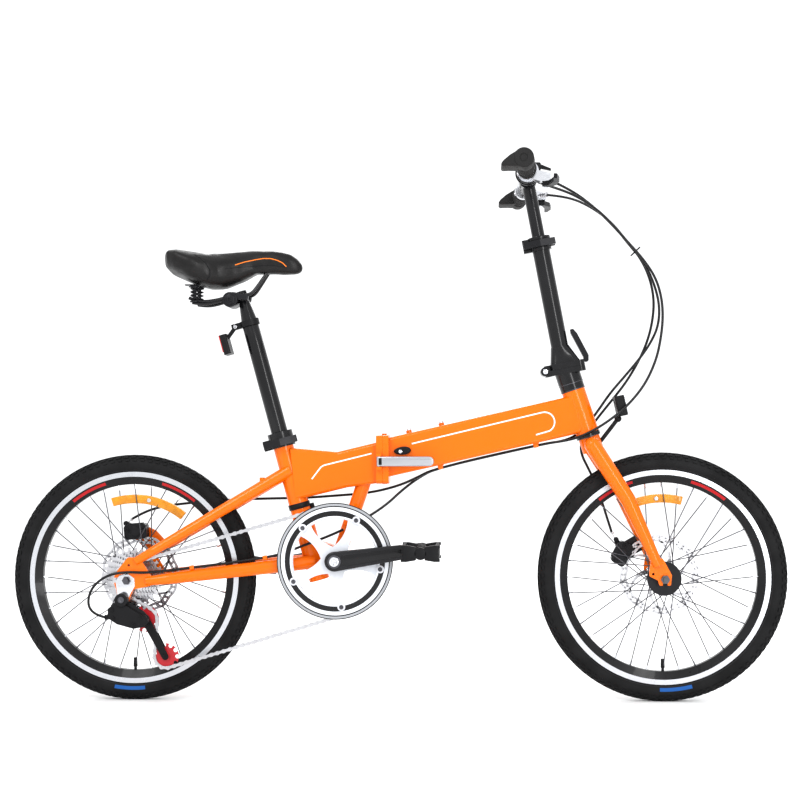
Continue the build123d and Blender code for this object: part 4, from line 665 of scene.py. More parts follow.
rear_brake_route = [
    (305, -94, 1006), (345, -66, 992), (390, -42, 962), (425, -26, 930),
    (457, -9, 898), (488, -7, 863), (511, -8, 828), (522, -13, 790),
    (524, -22, 750), (519, -28, 708), (509, -32, 664), (486, -34.5, 615),
    (450, -35, 573), (418, -34.5, 548), (390, -33, 530), (362, -27, 516),
    (332, -15, 508), under_beam(292, -7.0), under_beam(76, -7.5), (42, -8.5, 437),
    (8, -3, 422), (-36, 13, 410), (-74, 20, 404.5), (-120, 23, 401),
    (-182, 26, 396.5), (-250, 40, 395), (-312, 50, 393), (-370, 57, 390),
    (-425, 61, 385), (-475, 64, 379), (-515, 67, 368), (-543, 69, 352),
]
gear_route = [
    (281, -106, 1001), (312, -103, 991), (352, -88, 978), (395, -58, 955),
    (432, -24, 925), (460, -2, 893), (490, 0, 858), (509, 2, 818),
    (521, 10, 775), (519, 15, 733), (503, 21, 698), (480, 26, 666),
    (452, 31, 633), (424, 34, 601), (400, 34, 566), (378, 33, 537),
    (355, 27, 517), (328, 15, 507), under_beam(290, 7.0), under_beam(80, 7.5),
    (44, 8, 436), (12, 4, 412), (-18, -6, 384), (-58, -15, 358),
    (-98, -19, 338), (-140, -25.5, 320), (-180, -28.5, 306), (-222, -32, 289),
    (-270, -37, 280.5), (-330, -43.5, 272.5), (-390, -54, 265.5), (-445, -64, 259.5),
    (-485, -74.5, 256.5), (-523, -78, 259), (-560, -79, 252), (-589, -79, 228),
    (-597, -78.5, 196), (-583, -78, 176), (-562.5, -78.0, 171.0),
]
front_brake_route = [
    (305, 94, 1006), (345, 72, 999), (388, 47, 976), (428, 26, 942),
    (459, 8, 899), (487, 7, 862), (504, 11, 822), (511, 16, 782),
    (508, 22, 742), (498, 27, 702), (480, 32, 662), (458, 36.5, 625),
    (434, 40, 594), (408, 44, 562), (384, 49, 531), (367, 52, 504),
    (368, 51, 480), (382, 50, 452), (397, 51, 420), (409, 53, 385),
    (419, 56, 352), (428, 58.5, 324),
]


HOUSING_RADIUS = 2.5 * MM


def housing(name, points, bodies, stands_for=()):
    """One stretch of a cable.  With two bodies it rides on neither, and its place is written into its mesh."""
    piece = wire([Vector(point) * MM for point in points], HOUSING_RADIUS, name, 4, 10)
    dress(piece, name, hose, None if len(bodies) > 1 else bodies[0], stands_for, 60)
    if len(bodies) > 1:
        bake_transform(piece)
    return piece


def halfway(route, index):
    return tuple((a + b) / 2 for a, b in zip(route[index], route[index + 1]))


def run_cable(name, route, stretches):
    """A whole cable in stretches; each ends halfway along the run that follows one of its points."""
    start, begin = [], 0
    for number, (last, bodies, stands_for) in enumerate(stretches):
        tail = [] if last is None else [halfway(route, last)]
        stop = len(route) if last is None else last + 1
        housing(f"{name}_{number + 1}", start + route[begin:stop] + tail, bodies, stands_for)
        start, begin = tail, stop


HIGH, POST, FORK, FRONT, REAR = "handlebar", "handlepost", "fork", "front_frame", "rear_frame"
run_cable("rear_brake_cable", rear_brake_route, [
    (4, (HIGH, POST), ["bar_cables"]), (9, (POST, FORK), []), (16, (FORK, FRONT), []),
    (17, (FRONT,), ["beam_cables"]), (22, (FRONT, REAR), []), (None, (REAR,), ["rear_cables"])])
run_cable("gear_cable", gear_route, [
    (5, (HIGH, POST), []), (10, (POST, FORK), []), (17, (FORK, FRONT), []),
    (18, (FRONT,), []), (23, (FRONT, REAR), []), (None, (REAR,), [])])
run_cable("front_brake_cable", front_brake_route, [
    (4, (HIGH, POST), []), (9, (POST, FORK), []), (None, (FORK,), ["fork_cables"])])


for name, start, end, body in (("front_inner_wire", (428, 58.5, 326), (434.8, 61.8, 309.0), FORK),
                               ("rear_inner_wire", (-541, 69, 353), (-553, 68, 343), REAR)):
    strand = bar(Vector(start) * MM, Vector(end) * MM, 0.0009, 10)
    ferrule = rounded(bar(Vector(start) * MM, Vector(start).lerp(Vector(end), 0.25) * MM, 0.0031, 16),
                      0.0004)
    dress(join([strand, ferrule]), name, steel, body)


def tie(name, places, along_line, body):
    """A cable tie drawn round a bundle, with its square head."""
    middle = sum((Vector(p) for p in places), Vector()) / len(places) * MM
    half = (max(p[1] for p in places) - min(p[1] for p in places)) / 2 * MM + 0.0034
    deselect_all()
    bpy.ops.mesh.primitive_torus_add(major_radius=0.0034, minor_radius=0.0007,
                                     major_segments=32, minor_segments=8)
    band = made()
    band.data.transform(Matrix.Diagonal((1, half / 0.0034, 2.0, 1)))
    head = rounded(block((0.004, 0, 0), (0.0032, 0.0045, 0.0045)), 0.0006)
    piece = join([band, head])
    turn = Vector(along_line).to_track_quat("Z", "Y").to_matrix().to_4x4()
    piece.data.transform(Matrix.Translation(middle) @ turn)
    dress(piece, name, resin, body)


tie("upper_cable_tie", [halfway(rear_brake_route, 4), halfway(gear_route, 5),
                        halfway(front_brake_route, 4)],
    (33, 0, -35), POST)

# Orange clips hold the cables to the beam, the brace and the chain stay.
for name, x in (("front_beam_clip", 276), ("rear_beam_clip", 89)):
    low = Vector(under_beam(x, 0)) * MM
    clip = block(low, (0.010, 0.026, 0.008), (0, -BEAM_SLOPE, 0))
    dress(rounded(clip, 0.002, 3), name, orange_paint, FRONT)
for name, place, lean in (("front_stay_clip", (-255, -35.6, 282.5), 0.12),
                          ("rear_stay_clip", (-396, -55, 265), 0.12),
                          ("brace_clip", (-98, -18.5, 338), 0.45)):
    clip = rounded(block(Vector(place) * MM, (0.009, 0.009, 0.009), (0, -lean, 0)), 0.002, 3)
    dress(clip, name, orange_paint, REAR)


# =====================  Saddle  =====================
def saddle_section(share):
    """Half width, crown height, side height and underside height at a share of the saddle's length."""
    stations = [
        (0.00, 0.030, 0.884, 0.874, 0.852), (0.03, 0.056, 0.890, 0.884, 0.849), (0.10, 0.069, 0.889, 0.880, 0.840),
        (0.20, 0.072, 0.881, 0.870, 0.826), (0.32, 0.064, 0.877, 0.860, 0.815), (0.42, 0.050, 0.878, 0.855, 0.816),
        (0.54, 0.036, 0.881, 0.856, 0.830), (0.66, 0.027, 0.885, 0.858, 0.846), (0.80, 0.021, 0.887, 0.859, 0.846),
        (0.90, 0.018, 0.883, 0.857, 0.843), (0.955, 0.0145, 0.874, 0.855, 0.8415),
        (0.982, 0.0100, 0.8655, 0.8545, 0.8445), (1.00, 0.0035, 0.8575, 0.854, 0.8500)]
    for before, after in zip(stations, stations[1:]):
        if share <= after[0] + 1e-9:
            part = (share - before[0]) / (after[0] - before[0])
            part = part * part * (3 - 2 * part) * 0.4 + part * 0.6
            return [a + (b - a) * part for a, b in zip(before[1:], after[1:])]
    return stations[-1][1:]


def saddle_shape():
    """A grid rolled up into a closed crowned form, from the tail to the nose."""
    rings, around = 60, 36
    deselect_all()
    bpy.ops.mesh.primitive_grid_add(x_subdivisions=rings, y_subdivisions=around, size=2)
    piece = made()
    for vertex in piece.data.vertices:
        share = (vertex.co.x + 1) / 2
        turn = (vertex.co.y + 1) * pi
        half, crown, side, under = saddle_section(share)
        across, up = sin(turn), cos(turn)
        y = half * (abs(across) ** 0.72) * (1 if across > 0 else -1)
        if up > 0:
            z = side + (crown - side) * up ** 0.9
        else:
            z = side - (side - under) * (-up) ** 0.55
        vertex.co = (-0.4535 + 0.2725 * share, y, z)
    only(piece)
    bpy.ops.object.mode_set(mode="EDIT")
    bpy.ops.mesh.select_all(action="SELECT")
    bpy.ops.mesh.remove_doubles(threshold=0.00002)
    bpy.ops.mesh.select_all(action="DESELECT")
    bpy.ops.mesh.select_non_manifold()
    bpy.ops.mesh.fill()
    bpy.ops.object.mode_set(mode="OBJECT")
    return outwards(piece)


def puff(piece, most, pressure=4.0, frames=20):
    """Blows a padded piece up a little, no point further than a limit."""
    apply_modifier(piece, "REMESH", mode="VOXEL", voxel_size=0.004)
    rest = [vertex.co.copy() for vertex in piece.data.vertices]
    only(piece)
    cloth = piece.modifiers.new("cloth", "CLOTH")
    cloth.settings.use_pressure = True
    cloth.settings.uniform_pressure_force = pressure
    cloth.settings.effector_weights.gravity = 0
    cloth.point_cache.frame_end = frames
    for frame_number in range(1, frames + 1):
        scene.frame_set(frame_number)
    bpy.ops.object.modifier_apply(modifier=cloth.name)
    scene.frame_set(1)
    for vertex, before in zip(piece.data.vertices, rest):
        move = vertex.co - before
        if move.length > most:
            vertex.co = before + move * (most / move.length)
    return piece


saddle = saddle_shape()
puff(saddle, 0.005)
apply_modifier(saddle, "SMOOTH", factor=0.5, iterations=4)
apply_modifier(saddle, "SUBSURF", levels=1, render_levels=1)
dress(saddle, "saddle_pad", saddle_finish(), "seat_unit", ["saddle"], 180)


def on_saddle(x, z, side):
    """Where a line from the mid-plane sideways leaves the saddle."""
    hit, place, normal, face = saddle.ray_cast(Vector((x, side * 0.2, z)), Vector((0, -side, 0)))
    return place - normal * 0.0002 if hit else Vector((x, side * 0.03, z))


bpy.context.view_layer.update()
arc_line = [(-0.3126, 0.8575), (-0.2939, 0.8640), (-0.2740, 0.8685), (-0.2581, 0.8711), (-0.2443, 0.8710),
            (-0.2304, 0.8672), (-0.2205, 0.8622), (-0.2130, 0.8546)]
nose_seam = [(-0.331, 0.8490), (-0.306, 0.8530), (-0.286, 0.8545), (-0.262, 0.8565), (-0.242, 0.8580),
             (-0.212, 0.8530)]
panel_seam = [(-0.388, 0.8765), (-0.376, 0.8690), (-0.366, 0.8590), (-0.3585, 0.8470), (-0.3580, 0.8350),
              (-0.366, 0.8240)]
for name, line, radius, material in (("saddle_orange_arc", arc_line, 0.0011, saddle_orange),
                                     ("saddle_nose_seam", nose_seam, 0.0006, resin),
                                     ("saddle_panel_piping", panel_seam, 0.0010, resin)):
    both_sides = []
    for side in (-1, 1):
        fine = []
        for (x1, z1), (x2, z2) in zip(line, line[1:]):
            fine += [(x1 + (x2 - x1) * part / 4, z1 + (z2 - z1) * part / 4) for part in range(4)]
        both_sides.append(wire([on_saddle(x, z, side) for x, z in fine + [line[-1]]], radius))
    dress(join(both_sides), name, material, "seat_unit")


# =====================  Handlebar, grips and controls  =====================
BAR = Vector((0.26418, 0, 1.020))
BAR_HALF, GRIP_IN, BEND = 0.280, 0.152, 0.060


def bar_point(y):
    """A point on the handlebar's axis, which sweeps back outside its bends."""
    share = max(0.0, (abs(y) - BEND) / (BAR_HALF - BEND))
    return Vector((BAR.x - 0.015 * share, y, BAR.z))


def grip(side):
    """A ribbed sleeve, a domed end cap with its dimple, and a wing for the palm."""
    axis = (bar_point(side * BAR_HALF) - bar_point(side * GRIP_IN)).normalized()
    parts = [rounded(bar(bar_point(side * GRIP_IN), bar_point(side * 0.268), 0.0158, 40), 0.001)]
    parts.append(rounded(bar(bar_point(side * GRIP_IN), bar_point(side * (GRIP_IN + 0.005)), 0.0185, 40),
                         0.0015))
    for step in range(13):
        y = side * (0.162 + 0.0056 * step)
        parts.append(rounded(bar(bar_point(y), bar_point(y + side * 0.0032), 0.0172, 32), 0.0009))
    cap = bar(bar_point(side * 0.236), bar_point(side * BAR_HALF), 0.0183, 48)
    pocket(cap, axis, 0.0105, 0.0016)
    parts.append(rounded(cap, 0.0028, 4, 50))
    end = bar_point(side * 0.262)
    outline = [(0.006, 0.0165), (-0.010, 0.0150), (-0.026, 0.0055), (-0.038, -0.0045), (-0.0425, -0.0110),
               (-0.0395, -0.0150), (-0.028, -0.0145), (-0.012, -0.0150), (0.004, -0.0120)]
    low, high = sorted((side * 0.214, side * 0.2775))
    wing = slab([(end.x + x, end.z + z) for x, z in outline], low, high)
    parts.append(rounded(wing, 0.0032, 4, 25))
    return join(parts)


dress(join([grip(1), grip(-1)]), "ribbed_grips", grip_rubber, "handlebar", ["grips"])

controls = []
for side in (-1, 1):
    perch = bar_point(side * 0.128)
    controls.append(socket_bolt(perch + Vector((0.034, 0, -0.0078)), (0, 0, 1), 0.0042, 0.0032))
    controls.append(socket_bolt(perch + Vector((-0.0155, 0, -0.006)), (-1, 0, -0.3), 0.0034, 0.004))
    barrel = perch + Vector((0.034, -side * 0.026, -0.014))
    for step in range(4):
        here = barrel + Vector((0.0032, -side * 0.0032, 0)) * step
        controls.append(rounded(bar(here, here + Vector((0.0018, -side * 0.0018, 0)), 0.0058, 16), 0.0005))
dress(join(controls), "lever_bolts_and_barrels", steel, "handlebar")
shift_at = bar_point(-0.098)
pod = rounded(bar(shift_at + Vector((0, -0.0065, 0)), shift_at + Vector((0, -0.0195, 0)), 0.0225, 32),
              0.003, 3)
pod = join([pod, rounded(block(shift_at + Vector((0.014, -0.013, 0.010)), (0.020, 0.012, 0.016)), 0.003,
                         3)])
dress(pod, "shifter_pod", resin, "handlebar")


# =====================  Seat post, rails and clamp  =====================
SEAT_BASE, SEAT_UP = Vector((-0.152, 0, 0.236)), leaning(15)
POST_TOP = SEAT_BASE + SEAT_UP * ((0.785 - 0.236) / SEAT_UP.z)
post_low = POST_TOP - SEAT_UP * 0.350


def seat_post():
    """The plated tube, a raised collar, and a head that narrows up to the saddle's clamp."""
    shoulder = POST_TOP - SEAT_UP * 0.040
    parts = [rounded(bar(post_low, shoulder, 0.0165, 48), 0.001)]
    parts.append(rounded(bar(shoulder - SEAT_UP * 0.006, shoulder + SEAT_UP * 0.003, 0.0185, 48), 0.0015))
    neck = bar(shoulder, POST_TOP + SEAT_UP * 0.006, 0.0166, 48, 0.0098)
    parts.append(neck)
    parts.append(rounded(bar(POST_TOP - SEAT_UP * 0.002, POST_TOP + SEAT_UP * 0.024, 0.0102, 32), 0.0012))
    return join(parts)


dress(seat_post(), "tapered_seat_post", black_paint, "seat_unit", ["seatpost"])


def coil(place, radius, height, turns, wire_radius):
    """A compression spring that stands on a place."""
    steps = int(turns * 14)
    points = []
    for step in range(steps + 1):
        angle = 2 * pi * turns * step / steps
        points.append(Vector(place) + Vector((radius * cos(angle), radius * sin(angle),
                                              height * step / steps)))
    return wire(points, wire_radius)


RAIL_LINE = [(-0.405, 0.027, 0.794), (-0.392, 0.027, 0.788), (-0.372, 0.026, 0.786),
             (-0.345, 0.023, 0.7905),
             (-0.322, 0.021, 0.7975), (-0.300, 0.020, 0.7995), (-0.283, 0.019, 0.800), (-0.268, 0.014, 0.820),
             (-0.252, 0.010, 0.844)]
TAIL_LINE = [(-0.398, 0.030, 0.784), (-0.382, 0.029, 0.781), (-0.358, 0.024, 0.783), (-0.335, 0.020, 0.790)]
rails, springs = [], []
for side in (-1, 1):
    rails.append(wire([(x, side * y, z) for x, y, z in RAIL_LINE], 0.0034))
    rails.append(wire([(x, side * y, z) for x, y, z in TAIL_LINE], 0.0030))
    foot = Vector((-0.394, side * 0.026, 0.788))
    springs.append(coil(foot, 0.0072, 0.028, 4, 0.0016))
    springs.append(bar(foot, foot + Vector((0, 0, 0.030)), 0.0036, 16))
    for rise in (-0.003, 0.027):
        springs.append(rounded(bar(foot + Vector((0, 0, rise)), foot + Vector((0, 0, rise + 0.003)),
                                   0.0095, 24), 0.0008))
    springs.append(rounded(block(foot + Vector((-0.004, -side * 0.004, 0.0315)), (0.030, 0.020, 0.0024)),
                           0.0008))
dress(join(rails), "saddle_rails", black_paint, "seat_unit", ["saddle_clamp"])
dress(join(springs), "saddle_springs", black_anodised, "seat_unit")
barrel_at = Vector((-0.324, 0, 0.790))
clamp = [rounded(bar(barrel_at + Vector((0, -0.0295, 0)), barrel_at + Vector((0, 0.0295, 0)), 0.0150, 40),
                 0.0018, 3)]
for side in (-1, 1):
    clamp.append(rounded(bar(barrel_at + Vector((0, side * 0.0290, 0)),
                             barrel_at + Vector((0, side * 0.0325, 0)), 0.0115, 6),
                         0.0008))
    clamp.append(socket_bolt(barrel_at + Vector((0, side * 0.0320, 0)), (0, side, 0), 0.0052, 0.003))
    clamp.append(rounded(block((-0.305, side * 0.021, 0.7965), (0.034, 0.013, 0.013), (0, 0.15, 0)), 0.0025,
                         3))
dress(join(clamp), "saddle_clamp_barrel", black_anodised, "seat_unit")
reflector_at = Vector((-0.335, 0, 0.702))
lens = block((0, 0, 0), (0.0030, 0.040, 0.034))
lens = rounded(lens, 0.0012, 3)
lens.data.transform(Matrix.Translation(reflector_at + Vector((-0.0078, 0, 0.001)))
                    @ Matrix.Rotation(radians(-15), 4, "Y"))
dress(lens, "rear_red_lens", red_lens, "seat_unit")
collar_at = SEAT_BASE + SEAT_UP * ((0.745 - 0.236) / SEAT_UP.z)
dress(socket_bolt(collar_at + Vector((-0.0285, -0.0050, -0.0078)), (0, -1, 0), 0.0038, 0.0035),
      "reflector_clamp_bolt",
      steel, "seat_unit")


# =====================  Cranks and pedals  =====================
CRANK_RISE = radians(7.9)
CRANK_LENGTH = 0.172
arm_way = Vector((cos(CRANK_RISE), 0, sin(CRANK_RISE)))
for side, mark in ((-1, "right"), (1, "left")):
    here = CRANK_AXLE + Vector((0, side * 0.0755, 0))
    ring = rounded(bar(here, here + Vector((0, side * 0.0012, 0)), 0.0128, 40), 0.0004)
    dress(ring, mark + "_dust_ring", dark_steel, "crank")
    dress(socket_bolt(here + Vector((0, side * 0.001, 0)), (0, side, 0), 0.0095, 0.0032, 0.42),
          mark + "_crank_bolt",
          alloy, "crank")
    # The arm's crown is a raised rib that narrows along it.
    start, end = CRANK_AXLE - side * arm_way * 0.024, CRANK_AXLE - side * arm_way * 0.150
    low, high = sorted((side * 0.0755, side * 0.0772))
    rib = hull(((start.x, start.z, 0.0115), (end.x, end.z, 0.0070)), low, high)
    dress(rounded(rib, 0.0012, 3), mark + "_crank_rib", black_paint, "crank")
guard_bolts, lugs = [], []
for step in range(5):
    angle = radians(-10 + 72 * step)
    spot = CRANK_AXLE + Vector((0.0895 * cos(angle), -0.0628, 0.0895 * sin(angle)))
    lug = rounded(bar(spot + Vector((0, 0.0035, 0)), spot, 0.0078, 24), 0.001)
    lugs.append(lug)
    guard_bolts.append(socket_bolt(spot, (0, -1, 0), 0.0044, 0.0020))
dress(join(lugs), "guard_lugs", WHITE_COAT, "crank")
dress(join(guard_bolts), "guard_bolts", dark_steel, "crank")


def pedal(centre, side):
    """A resin platform: a ribbed barrel, toothed bars in front and behind, and two end frames."""
    inner, outer = side * 0.0845, side * 0.1735
    low, high = sorted((inner, outer))
    parts = [rounded(bar(centre + Vector((0, low, 0)), centre + Vector((0, high, 0)), 0.0115, 32), 0.001)]
    for step in range(7):
        y = low + 0.012 + step * 0.0108
        parts.append(rounded(bar(centre + Vector((0, y, 0)), centre + Vector((0, y + 0.003, 0)),
                                 0.0130, 24), 0.0006))
    for way in (-1, 1):
        for y in (low, high - 0.0085):
            frame_side = [(0.008 * way, 0.0125), (0.026 * way, 0.0155), (0.0365 * way, 0.0155),
                          (0.0365 * way, 0.0105),
                          (0.0335 * way, 0.008), (0.0335 * way, -0.008), (0.0365 * way, -0.0105),
                          (0.0365 * way, -0.0155), (0.026 * way, -0.0155), (0.008 * way, -0.0125)]
            plate = slab([(centre.x + x, centre.z + z) for x, z in frame_side], y, y + 0.0085)
            parts.append(rounded(plate, 0.0012, 2))
        bar_x = centre.x + way * 0.0310
        parts.append(rounded(block((bar_x, (low + high) / 2, centre.z), (0.0080, 0.0830, 0.0240)), 0.0018,
                             2))
        for step in range(6):
            for rise in (-1, 1):
                tooth = block((bar_x, low + 0.014 + step * 0.0124, centre.z + rise * 0.0132),
                              (0.0060, 0.0058, 0.0050))
                parts.append(rounded(tooth, 0.0008))
        parts.append(rounded(block((centre.x + way * 0.0205, (low + high) / 2, centre.z),
                                   (0.016, 0.006, 0.016)), 0.001))
    cap = bar(centre + Vector((0, outer - side * 0.002, 0)),
              centre + Vector((0, outer + side * 0.0005, 0)), 0.0090, 32)
    parts.append(rounded(cap, 0.0006))
    return join(parts)


for side, mark in ((-1, "right"), (1, "left")):
    eye = CRANK_AXLE - side * arm_way * CRANK_LENGTH
    piece = pedal(eye, side)
    dress(piece, mark + "_platform_pedal", resin, mark + "_pedal", [mark + "_pedal"])


# =====================  Brakes  =====================
WAVES, WAVE_HEIGHT = 12, 0.0014
BRIDGES, ROTOR_ARMS = 36, 6


def wavy_rotor(which, axle, y, body):
    """A disc whose track is two wavy rings with bridges between them, on six curved arms."""
    low, high = y - 0.0009, y + 0.0009
    parts = []
    for inner, outer in ((0.0735, 0.0785), (0.0640, 0.0690)):
        ring = lathe([(low, inner), (high, inner), (high, outer), (low, outer)], (axle.x, 0, axle.z), 216)
        for vertex in ring.data.vertices:
            flat = Vector((vertex.co.x - axle.x, 0, vertex.co.z - axle.z))
            wave = WAVE_HEIGHT * sin(WAVES * atan2(flat.z, flat.x))
            vertex.co += flat.normalized() * wave
        parts.append(ring)
    for step in range(BRIDGES):
        angle = 2 * pi * step / BRIDGES
        reach = 0.0712 + WAVE_HEIGHT * sin(WAVES * angle)
        bridge = block((axle.x + reach * cos(angle), y, axle.z + reach * sin(angle)),
                       (0.0070, 0.0018, 0.0052),
                       (0, -angle - 0.5, 0))
        parts.append(bridge)
    arm = []
    for edge in (-1, 1):
        for step in (range(9) if edge < 0 else range(8, -1, -1)):
            share = step / 8
            reach = 0.0185 + 0.0475 * share
            angle = radians(-14 + 42 * share ** 1.3) + edge * (0.0042 - 0.0012 * share) / reach
            arm.append((axle.x + reach * cos(angle), axle.z + reach * sin(angle)))
    parts.append(all_round(slab(arm, low, high), axle, ROTOR_ARMS))
    parts.append(lathe([(low, 0.0120), (high, 0.0120), (high, 0.0215), (low, 0.0215)],
                       (axle.x, 0, axle.z), 64))
    dress(join(parts), which + "_wavy_rotor", steel, body, [which + "_rotor"], 30)
    bolt = socket_bolt((axle.x + 0.0172, high, axle.z), (0, 1, 0), 0.0030, 0.0022)
    dress(all_round(bolt, axle, ROTOR_ARMS), which + "_rotor_bolts", dark_steel, body)


wavy_rotor("front", FRONT_AXLE, 0.0395, "front_wheel")
wavy_rotor("rear", REAR_AXLE, 0.0430, "rear_wheel")


def caliper_trim(which, x, z, y_right, body):
    """Cooling fins, a round cover and two pairs of bolts on a caliper."""
    heading = {"front": atan2(0.242 - z, 0.520 - x), "rear": atan2(0.242 - z, -0.520 - x)}[which]
    along = Vector((cos(heading), 0, sin(heading)))
    aside = Vector((-sin(heading), 0, cos(heading)))
    middle_of = Vector((x, y_right, z))
    parts = [rounded(bar(middle_of, middle_of - Vector((0, 0.0016, 0)), 0.0110, 32), 0.0008)]
    for way in (-1, 1):
        spot = middle_of + aside * way * 0.0165 - along * 0.004
        parts.append(socket_bolt(spot, (0, -1, 0), 0.0042, 0.0034))
        parts.append(socket_bolt(middle_of + aside * way * 0.0175 + along * 0.008 + Vector((0, 0.012, 0)),
                                 aside * way,
                                 0.0045, 0.0065))
    for step in range(4):
        fin = block(middle_of + Vector((0, 0.005 + 0.0046 * step, 0)) - along * 0.0150,
                    (0.0035, 0.0018, 0.030),
                    (0, -heading, 0))
        parts.append(rounded(fin, 0.0005))
    dress(join(parts), which + "_caliper_trim", black_anodised, body)


caliper_trim("front", 0.446, 0.284, 0.0275, "fork")
caliper_trim("rear", -0.527, 0.329, 0.0310, "rear_frame")


# =====================  Derailleur  =====================
def derailleur():
    """Slim cage plates, two knuckles and the links between them, with their pivots."""
    guide, tension = GUIDE_PULLEY, TENSION_PULLEY
    parts = []
    for y in (-0.0606, -0.0490):
        parts.append(rounded(hull(((*guide, 0.0085), (*tension, 0.0065)), y, y + 0.0016), 0.0005))
    for x, z in (guide, tension):
        parts.append(bar((x, -0.0608, z), (x, -0.0474, z), 0.0040, 20))
        parts.append(socket_bolt((x, -0.0604, z), (0, -1, 0), 0.0048, 0.0024))
    upper, lower = Vector((-0.529, 0, 0.2045)), Vector((-0.489, 0, 0.164))
    parts.append(rounded(bar(upper + Vector((0, -0.0712, 0)), upper + Vector((0, -0.0880, 0)), 0.0130, 36),
                         0.002, 3))
    parts.append(rounded(bar(lower + Vector((0, -0.0606, 0)), lower + Vector((0, -0.0840, 0)), 0.0122, 36),
                         0.002, 3))
    body_outline = [(-0.5555, 0.1880), (-0.5420, 0.1985), (-0.5220, 0.1960), (-0.4900, 0.1760),
                    (-0.4800, 0.1640),
                    (-0.4850, 0.1530), (-0.5050, 0.1490), (-0.5380, 0.1580), (-0.5560, 0.1700)]
    parts.append(rounded(slab(body_outline, -0.0845, -0.0790), 0.0018, 3))
    inner_outline = [(x + 0.004, z + 0.006) for x, z in body_outline]
    parts.append(rounded(slab(inner_outline, -0.0765, -0.0725), 0.0015, 2))
    for x, z in ((-0.5470, 0.1865), (-0.5455, 0.1690), (-0.5060, 0.1570), (-0.4905, 0.1720)):
        parts.append(bar((x, -0.0850, z), (x, -0.0720, z), 0.0030, 16))
        parts.append(socket_bolt((x, -0.0845, z), (0, -1, 0), 0.0038, 0.0018))
    barrel = Vector((-0.562, -0.0785, 0.171))
    for step in range(5):
        here = barrel + Vector((0.0032, 0, 0.0002)) * step
        parts.append(rounded(bar(here, here + Vector((0.0022, 0, 0.0001)), 0.0050, 16), 0.0005))
    parts.append(bar(barrel, barrel + Vector((0.022, 0, 0.001)), 0.0036, 16))
    return join(parts)


dress(derailleur(), "derailleur_body", resin, "rear_frame", ["derailleur"])
hanger = [(-0.5400, 0.2200), (-0.5375, 0.1990), (-0.5280, 0.1935), (-0.5200, 0.1985), (-0.5140, 0.2150),
          (-0.5050, 0.2300), (-0.5060, 0.2460), (-0.5200, 0.2560), (-0.5350, 0.2520), (-0.5430, 0.2400)]
plate = rounded(slab(hanger, -0.0722, -0.0712), 0.0005)
dress(plate, "hanger_plate", alloy, "rear_frame")
dress(socket_bolt((-0.5285, -0.0880, 0.2055), (0, -1, 0), 0.0062, 0.0016), "derailleur_bolt",
      dark_steel, "rear_frame")


# =====================  Frame trim  =====================
LATCH_Z, LATCH_BACK, LATCH_FRONT = 0.470, -0.0325, 0.0770
latch_outline = [(LATCH_BACK, LATCH_Z - 0.0095)]
for step in range(13):
    angle = radians(-90 + 15 * step)
    latch_outline.append((LATCH_FRONT - 0.0095 + 0.0095 * cos(angle), LATCH_Z + 0.0095 * sin(angle)))
latch_outline.append((LATCH_BACK, LATCH_Z + 0.0095))
latch = rounded(slab(latch_outline, -0.0443, -0.0363), 0.0022, 4)
root = rounded(bar((-0.0305, -0.0393, LATCH_Z - 0.0095), (-0.0305, -0.0393, LATCH_Z + 0.0095), 0.0048, 32),
               0.0008)
pin = rounded(bar((-0.0305, -0.0393, LATCH_Z - 0.0150), (-0.0305, -0.0393, LATCH_Z + 0.0150), 0.0025, 20),
              0.0005)
dress(join([latch, root, pin]), "brushed_latch_lever", BRUSHED, "latch_lever", ["latch_lever"])
# Painted shade: a flat black slab in the resin finish lies on the lever's face where the slot's shaded hollow is,
# in place of a cut slot.
slot = rounded(block((-0.0275, -0.0441, LATCH_Z), (0.0060, 0.0010, 0.0135)), 0.0004)
dress(slot, "latch_slot_painted_shade", resin, "latch_lever")

catch = []
for step in range(28):
    angle = 2 * pi * step / 28
    x, z = 0.0168 * cos(angle), 0.0080 * sin(angle) * (1 + 0.12 * cos(angle))
    catch.append((0.0150 + x, 0.4905 + z + 0.06 * x))
dress(rounded(slab(catch, -0.0310, -0.0216), 0.0026, 4), "latch_catch_knob", resin, "latch_catch",
      ["latch_catch"])
dress(socket_bolt((0.0112, -0.0308, 0.4892), (0, -1, 0), 0.0036, 0.0022), "latch_catch_bolt",
      alloy, "latch_catch")

band_low = SEAT_BASE + SEAT_UP * 0.146
band = ring_on(band_low, band_low + SEAT_UP * 0.011, 0.0216, 0.0014)
ear = rounded(block(band_low + SEAT_UP * 0.0055 + Vector((0.024, 0.006, 0)), (0.010, 0.010, 0.010),
                    (0, -0.26, 0)), 0.0015)
dress(join([band, ear]), "seat_tube_band", resin, "rear_frame")

screws = []
for x in (28.0, 92.0):
    lift = (x * sin(BEAM_SLOPE) + BEAM_HALF) / cos(BEAM_SLOPE)
    rise = Vector((x * MM, 0, (BEAM_HEIGHT_AT_ZERO + lift) * MM))
    top = rise + leaning(BEAM_LEAN) * 0.0050
    screws.append(socket_bolt(top, leaning(BEAM_LEAN), 0.0042, 0.0042))
dress(join(screws), "bottle_boss_screws", alloy, FRONT)

front_lens_at = Vector((0.441, 0, 0.576))
for name, offset, depth, wide, high, material in (
        ("front_lens_frame", 0.0070, 0.0060, 0.0500, 0.0390, resin),
        ("front_clear_lens", 0.0100, 0.0024, 0.0450, 0.0340, clear_lens)):
    piece = rounded(block((offset, 0, 0), (depth, wide, high)), 0.0008, 2)
    piece.data.transform(Matrix.Translation(front_lens_at) @ Matrix.Rotation(radians(-12), 4, "Y"))
    dress(piece, name, material, FORK)

